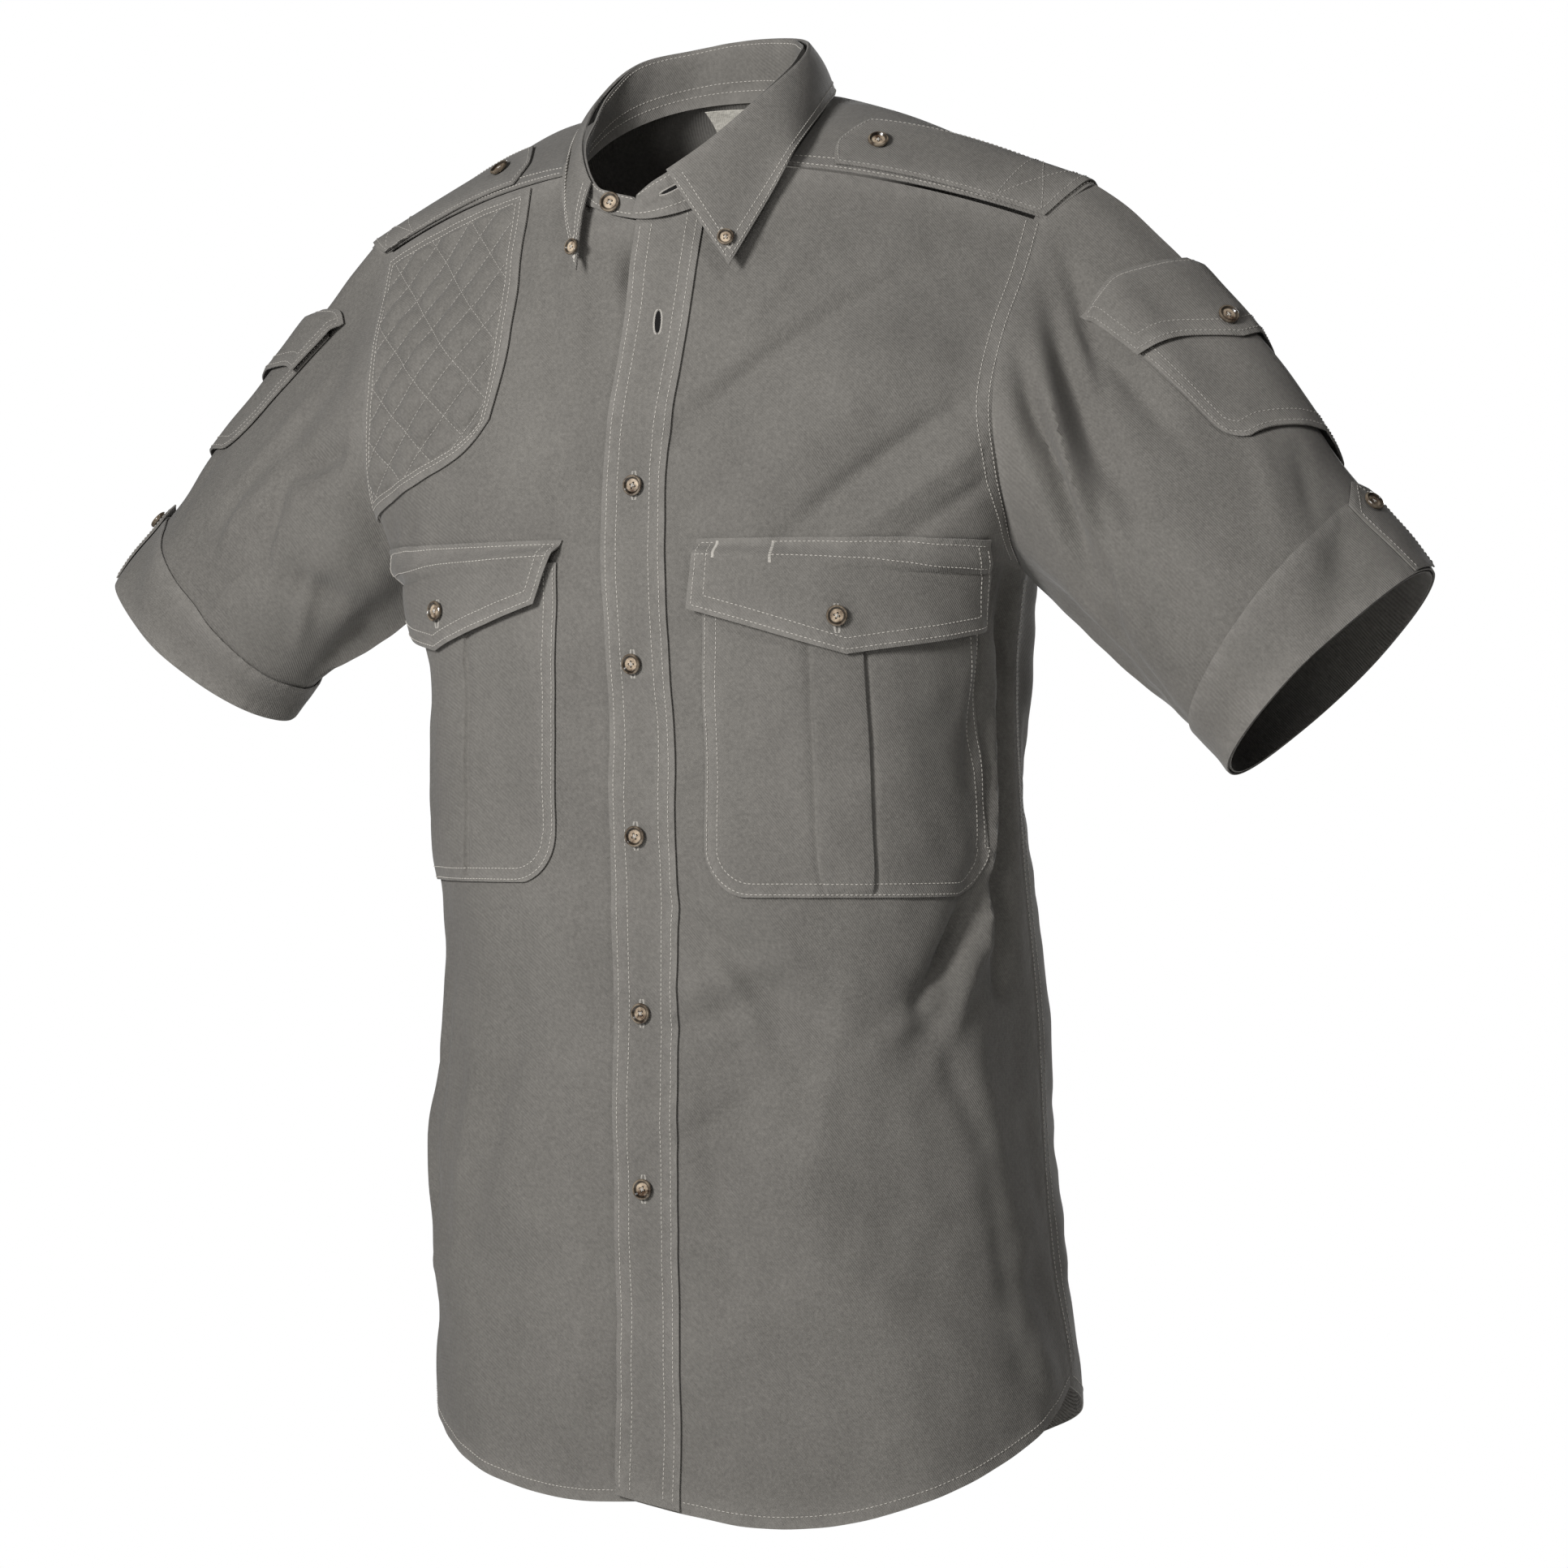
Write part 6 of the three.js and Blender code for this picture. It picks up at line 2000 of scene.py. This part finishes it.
def add_button(node, surface, a, b, step, away, radius=BUTTON_RADIUS):
    placed_buttons.append(node)
    point, normal, upright = surface_frame(surface, a, b, step, away)
    angle = math.radians(TURN_EACH * len(placed_buttons))
    across = np.cross(upright, normal)
    side = across * math.cos(angle) + upright * math.sin(angle)
    other = np.cross(normal, side)
    scale = np.array([radius / BUTTON_RADIUS, radius / BUTTON_RADIUS, 1])
    local = template_points * scale
    seat = point + normal * SEAT
    placed = seat + local[:, :1] * side + local[:, 1:2] * other + local[:, 2:] * normal
    mesh = bpy.data.meshes.new(node + "_disc")
    mesh.from_pydata((placed * MM).tolist(), [], template_faces)
    mesh.shade_smooth()
    mesh.set_sharp_from_angle(angle=math.radians(BUTTON_SHARP))
    rings = mesh.attributes.new("ring", "FLOAT", "POINT")
    rings.data.foreach_set("value", np.hypot(local[:, 0], local[:, 1]) / radius)
    add_piece(node + "_disc", mesh, button_horn, node)
    out = HOLE["out"] * 1.2 * radius / BUTTON_RADIUS
    for way in (1, -1):
        direction = unit(side + other * way)
        middle = seat + normal * (THREAD_HEIGHT + THREAD_CROSSING * way)
        button_threads.append((middle - direction * out, middle + direction * out, normal))


TORSO_MIDDLE = (0, 20, -300)
NECK_MIDDLE = (0, -20, -20)
BAND_BUTTONS = (-174, -269, -360.6, -455.6, -549.6)


def band_surface(across, row, lift=0.0):
    return front_point("left", across, row, BAND_LIFT + lift)


def on_chest(side, across, row, lift=0.0):
    """A point of one front by its distance from the centre, whichever side it is on."""
    sign = 1 if side == "left" else -1
    return front_point(side, sign * across, row, lift)


def stand_by_percent(turn, up):
    return stand_smooth(turn, up / 100)


def leaf_by_percent(turn, down):
    return leaf_smooth(turn, down / 100)


for number, row in enumerate(BAND_BUTTONS, 1):
    add_button(f"front_button_{number}", band_surface, OPEN_BUTTON["across"], row, 3, TORSO_MIDDLE)
add_button("front_button_open", right_front, OPEN_BUTTON["across"], OPEN_BUTTON["row"], 3, TORSO_MIDDLE)
STAND_BUTTON = (344.5, 42)
add_button("stand_button", stand_by_percent, *STAND_BUTTON, 2, NECK_MIDDLE)
FLAP_BUTTONS = {"left": (113.5, -243.6), "right": (123.5, -237.5)}
LEAF_BUTTONS = {"left": (16.5, 84), "right": (332, 86)}
EPAULETTE_BUTTON = 0.335
ARM_BUTTON = 75
TAB_BUTTON = 163
COLLAR_RADIUS = 4.6
FLAP_FACE = OFF_PANEL + FLAP_LIFT + POCKET["swell"] * 0.6
for side in ("left", "right"):
    sign = 1 if side == "left" else -1
    add_button("collar_button_" + side, leaf_by_percent, *LEAF_BUTTONS[side], 2, NECK_MIDDLE, COLLAR_RADIUS)
    flap_surface = sided(on_chest, side, FLAP_FACE)
    add_button("chest_button_" + side, flap_surface, *FLAP_BUTTONS[side], 3, TORSO_MIDDLE)
    strap_surface = sided(on_yoke, side, OFF_YOKE)
    place = mix(EPAULETTE["neck"], EPAULETTE["centre"], EPAULETTE_BUTTON)
    add_button("epaulette_button_" + side, strap_surface, place, EPAULETTE_BUTTON, 0.01, TORSO_MIDDLE)
    arm_middle = (sign * 270, 15, -170)
    arm_face = SLEEVE_TRIMS[side]["off"] + ARM_FLAP["lift"] + ARM_POCKET["swell"]
    arm_surface = sided(arm_point, side, arm_face)
    add_button("sleeve_button_" + side, arm_surface, 0, ARM_BUTTON, 3, arm_middle)
    tab_surface = sided(on_sleeve, side, 2 * OFF_PANEL)
    add_button("tab_button_" + side, tab_surface, SLEEVE_TRIMS[side]["tab"], TAB_BUTTON, 3, arm_middle)
print("buttons placed:", len(placed_buttons))

starts, ends, ups = (np.array(values) for values in zip(*button_threads))
BUTTON_THREAD = 0.32
sew("button_thread", [], pale_thread, radius=BUTTON_THREAD, extra=[(starts, ends, ups)])


# %% [markdown]
# Buttonholes. Each is two close rows of short threads round a slit. The two that nothing fills, on
# the placket and on the collar band, stand open. They are not cut through here: a thin near-black
# sheet of painted shade lies between their threads in place of the dark opening, which looks open
# from the front only. A Boolean cut would be truer.

# %% Buttonholes
HOLE_LONG = 15.0
HOLE_GAP = 0.75
HOLE_PITCH = 0.42
HOLE_PROUD = 0.12
HOLE_THREAD = 0.2
THREAD_WIDE = 1.3
SLIT_PROUD = 0.1


def buttonhole(surface, a, b, a_mm, b_mm, upright=True, gap=HOLE_GAP, long=HOLE_LONG):
    """Thread bars round a slit; a_mm and b_mm turn millimetres into the surface's own units."""
    count = int(long / HOLE_PITCH)
    places = np.linspace(-long / 2, long / 2, count)
    bow = np.sqrt(np.maximum(0.02, 1 - (2 * places / long) ** 2))

    def beside(away, lift):
        aside, along = (away, places) if upright else (places, away)
        return surface(a + aside * a_mm, b + along * b_mm, lift)

    sets = []
    for way in (1, -1):
        near = way * gap * bow
        low = beside(near, HOLE_PROUD)
        high = beside(near + way * THREAD_WIDE, HOLE_PROUD)
        sets.append((low, high, unit(beside(near, HOLE_PROUD + 1) - low)))
    return sets


def slit_shade_sheet(name, surface, a, b, a_mm, b_mm, upright, gap, long):
    """A thin near-black sheet of painted shade that stands for the dark opening of a buttonhole."""
    places = np.linspace(-1, 1, 15)
    across = np.linspace(-1, 1, 5)
    along_grid, across_grid = mesh_grid(places, across)
    bow = np.sqrt(np.maximum(0.003, 1 - along_grid**2)) * across_grid * (gap + 0.25)
    length = along_grid * long / 2
    aside, along = (bow, length) if upright else (length, bow)
    grid = surface(a + aside * a_mm, b + along * b_mm, SLIT_PROUD)
    points = grid.reshape(-1, 3)
    index = np.arange(len(points)).reshape(grid.shape[:2])
    corners = [index[:-1, :-1], index[:-1, 1:], index[1:, 1:], index[1:, :-1]]
    return new_piece(name, points, np.stack(corners, -1).reshape(-1, 4), hole_shade_material)


# Painted shade: the near-black colour of the sheets that stand for the dark inside of open buttonholes.
SHADE_DARK = (0.004, 0.004, 0.004, 1)
SHADE_LIGHT = (0.009, 0.008, 0.008, 1)
SHADE_RUBBED = (0.01, 0.01, 0.01, 1)
hole_shade_material = woven("painted_hole_shade", SHADE_DARK, SHADE_LIGHT, SHADE_RUBBED,
                    roughness=0.95, sheen=0.0, rib_scale=330.0, rib_depth=0.0001, wear=0)
# Degrees round the neck and shares up the collar that make one millimetre
LEAF_PER_MM = (0.8, 0.017)
STAND_PER_MM = (0.85, 0.035)
holes = []
for row in BAND_BUTTONS:
    holes += buttonhole(band_surface, OPEN_BUTTON["across"], row, 1, 1)
OPEN_HOLE = (13.5, -87.2)
holes += buttonhole(band_surface, *OPEN_HOLE, 1, 1, gap=1.7, long=13)
slit_shade_sheet("open_buttonhole_shade", band_surface, *OPEN_HOLE, 1, 1, True, 1.7, 12)
for side in ("left", "right"):
    across, row = FLAP_BUTTONS[side]
    holes += buttonhole(sided(on_chest, side, FLAP_FACE), across, row - 1.5, 1, 1)
    turn, down = LEAF_BUTTONS[side]
    holes += buttonhole(leaf_at, turn, down / 100, *LEAF_PER_MM, long=11)
STAND_HOLE = (13.5, 0.5)
holes += buttonhole(stand_at, *STAND_HOLE, *STAND_PER_MM, upright=False, gap=1.3, long=13)
slit_shade_sheet("stand_buttonhole_shade", stand_at, *STAND_HOLE, *STAND_PER_MM, False, 1.3, 11)
sew("buttonhole_thread", [], pale_thread, radius=HOLE_THREAD, extra=holes)


# %% [markdown]
# Light and floor. The picture is a studio shot on white: one small light from the front, at chest
# height so that it reaches inside the collar, and weaker ones from the right, the front and
# behind. A small light keeps the folds crisp; a broad one would wash them out. The world is white
# to the camera but dim as a light, so the folds keep their shade. The floor is far below the hem,
# because the shirt hangs in the air as if worn.

# %% Light and floor
WORLD_LIGHT = 0.04
world = bpy.data.worlds.new("white_studio")
bpy.context.scene.world = world
world.use_nodes = True
tree = world.node_tree
backdrop = tree.nodes["Background"]
ray = tree.nodes.new("ShaderNodeLightPath")
level = tree.nodes.new("ShaderNodeMapRange")
level.inputs["To Min"].default_value = WORLD_LIGHT
level.inputs["To Max"].default_value = 1.0
tree.links.new(ray.outputs["Is Camera Ray"], level.inputs["Value"])
tree.links.new(level.outputs["Result"], backdrop.inputs["Strength"])
backdrop.inputs["Color"].default_value = (1, 1, 1, 1)


def area_light(name, place, aim, size, power):
    data = bpy.data.lights.new(name, "AREA")
    data.shape = "RECTANGLE"
    data.size, data.size_y = size
    data.energy = power
    lamp = bpy.data.objects.new(name, data)
    bpy.context.scene.collection.objects.link(lamp)
    lamp.location = place
    lamp.rotation_euler = (Vector(aim) - Vector(place)).to_track_quat("-Z", "Y").to_euler()
    return lamp


SHIRT_MIDDLE = (0, 0, -0.33)
area_light("front_light", (-0.3, -1.75, 0.2), aim=(0, 0, -0.24), size=(0.4, 0.4), power=35)
area_light("side_light", (2.1, -1.9, 1.9), aim=(0.35, 0, -0.2), size=(0.6, 0.6), power=21)
area_light("low_light", (0.2, -2.4, -0.3), aim=(0, 0, -0.1), size=(0.4, 0.4), power=7)
area_light("back_light", (-0.2, 2.6, 0.5), aim=SHIRT_MIDDLE, size=(2.0, 1.0), power=60)

FLOOR_HEIGHT = -1.25
FLOOR_REACH = 2.2
floor_place = (0, 0, FLOOR_HEIGHT)
bpy.ops.mesh.primitive_circle_add(vertices=96, radius=FLOOR_REACH, fill_type="NGON", location=floor_place)
floor = bpy.context.object
floor.name = "floor"
pale_floor = bpy.data.materials.new("pale_floor")
pale_floor.use_nodes = True
pale_floor.node_tree.nodes["Principled BSDF"].inputs["Base Color"].default_value = (0.8, 0.8, 0.79, 1)
floor.data.materials.append(pale_floor)
bpy.context.scene.view_settings.view_transform = "Standard"


# %% [markdown]
# The cut of each sheet. A cutter needs the flat size of every piece, width by length in metres,
# and its flat area where it is not a rectangle. The sizes are of what shows, without turnings.

# %% Cut sizes
def measured(piece):
    mesh = piece.data
    areas = np.zeros(len(mesh.polygons))
    mesh.polygons.foreach_get("area", areas)
    return areas.sum() / 2


CUTS = {
    "back_cloth": (0.54, 0.70, 0.29, "hung"),
    "yoke_cloth": (0.50, 0.24, 0.076, "laid"),
    "front_left_cloth": (0.30, 0.74, 0.178, "hung"),
    "front_right_cloth": (0.29, 0.74, 0.176, "hung"),
    "placket_cloth": (0.038, 0.69, None, "laid"),
    "collar_stand_cloth": (0.40, 0.034, 0.0117, "folded"),
    "collar_leaf_cloth": (0.42, 0.055, 0.0152, "folded"),
    "sleeve_left_cloth": (0.50, 0.25, 0.098, "hung"),
    "sleeve_right_cloth": (0.44, 0.24, 0.08, "hung"),
    "cuff_left_cloth": (0.42, 0.045, None, "folded"),
    "cuff_right_cloth": (0.36, 0.040, None, "folded"),
    "chest_pocket_left_cloth": (0.166, 0.180, 0.029, "laid"),
    "chest_pocket_right_cloth": (0.158, 0.175, 0.027, "laid"),
    "chest_flap_left_cloth": (0.168, 0.064, 0.0093, "laid"),
    "chest_flap_right_cloth": (0.160, 0.059, 0.0080, "laid"),
    "quilted_patch_cloth": (0.13, 0.19, 0.019, "laid"),
    "epaulette_left_cloth": (0.048, 0.140, 0.0062, "laid"),
    "epaulette_right_cloth": (0.048, 0.140, 0.0062, "laid"),
    "sleeve_pocket_left_cloth": (0.118, 0.098, 0.0098, "laid"),
    "sleeve_pocket_right_cloth": (0.108, 0.090, 0.0083, "laid"),
    "sleeve_flap_left_cloth": (0.126, 0.066, 0.0060, "laid"),
    "sleeve_flap_right_cloth": (0.114, 0.062, 0.0052, "laid"),
    "tab_left_cloth": (0.03, 0.05, 0.0014, "laid"),
    "tab_right_cloth": (0.028, 0.05, 0.0013, "laid"),
    "label_cloth": (0.051, 0.044, None, "laid"),
}
for name, (width, length, area, held) in CUTS.items():
    print(f"{name}: cut {width} x {length} m, area {area}, cloth measures {measured(made[name]):.4f} m2")
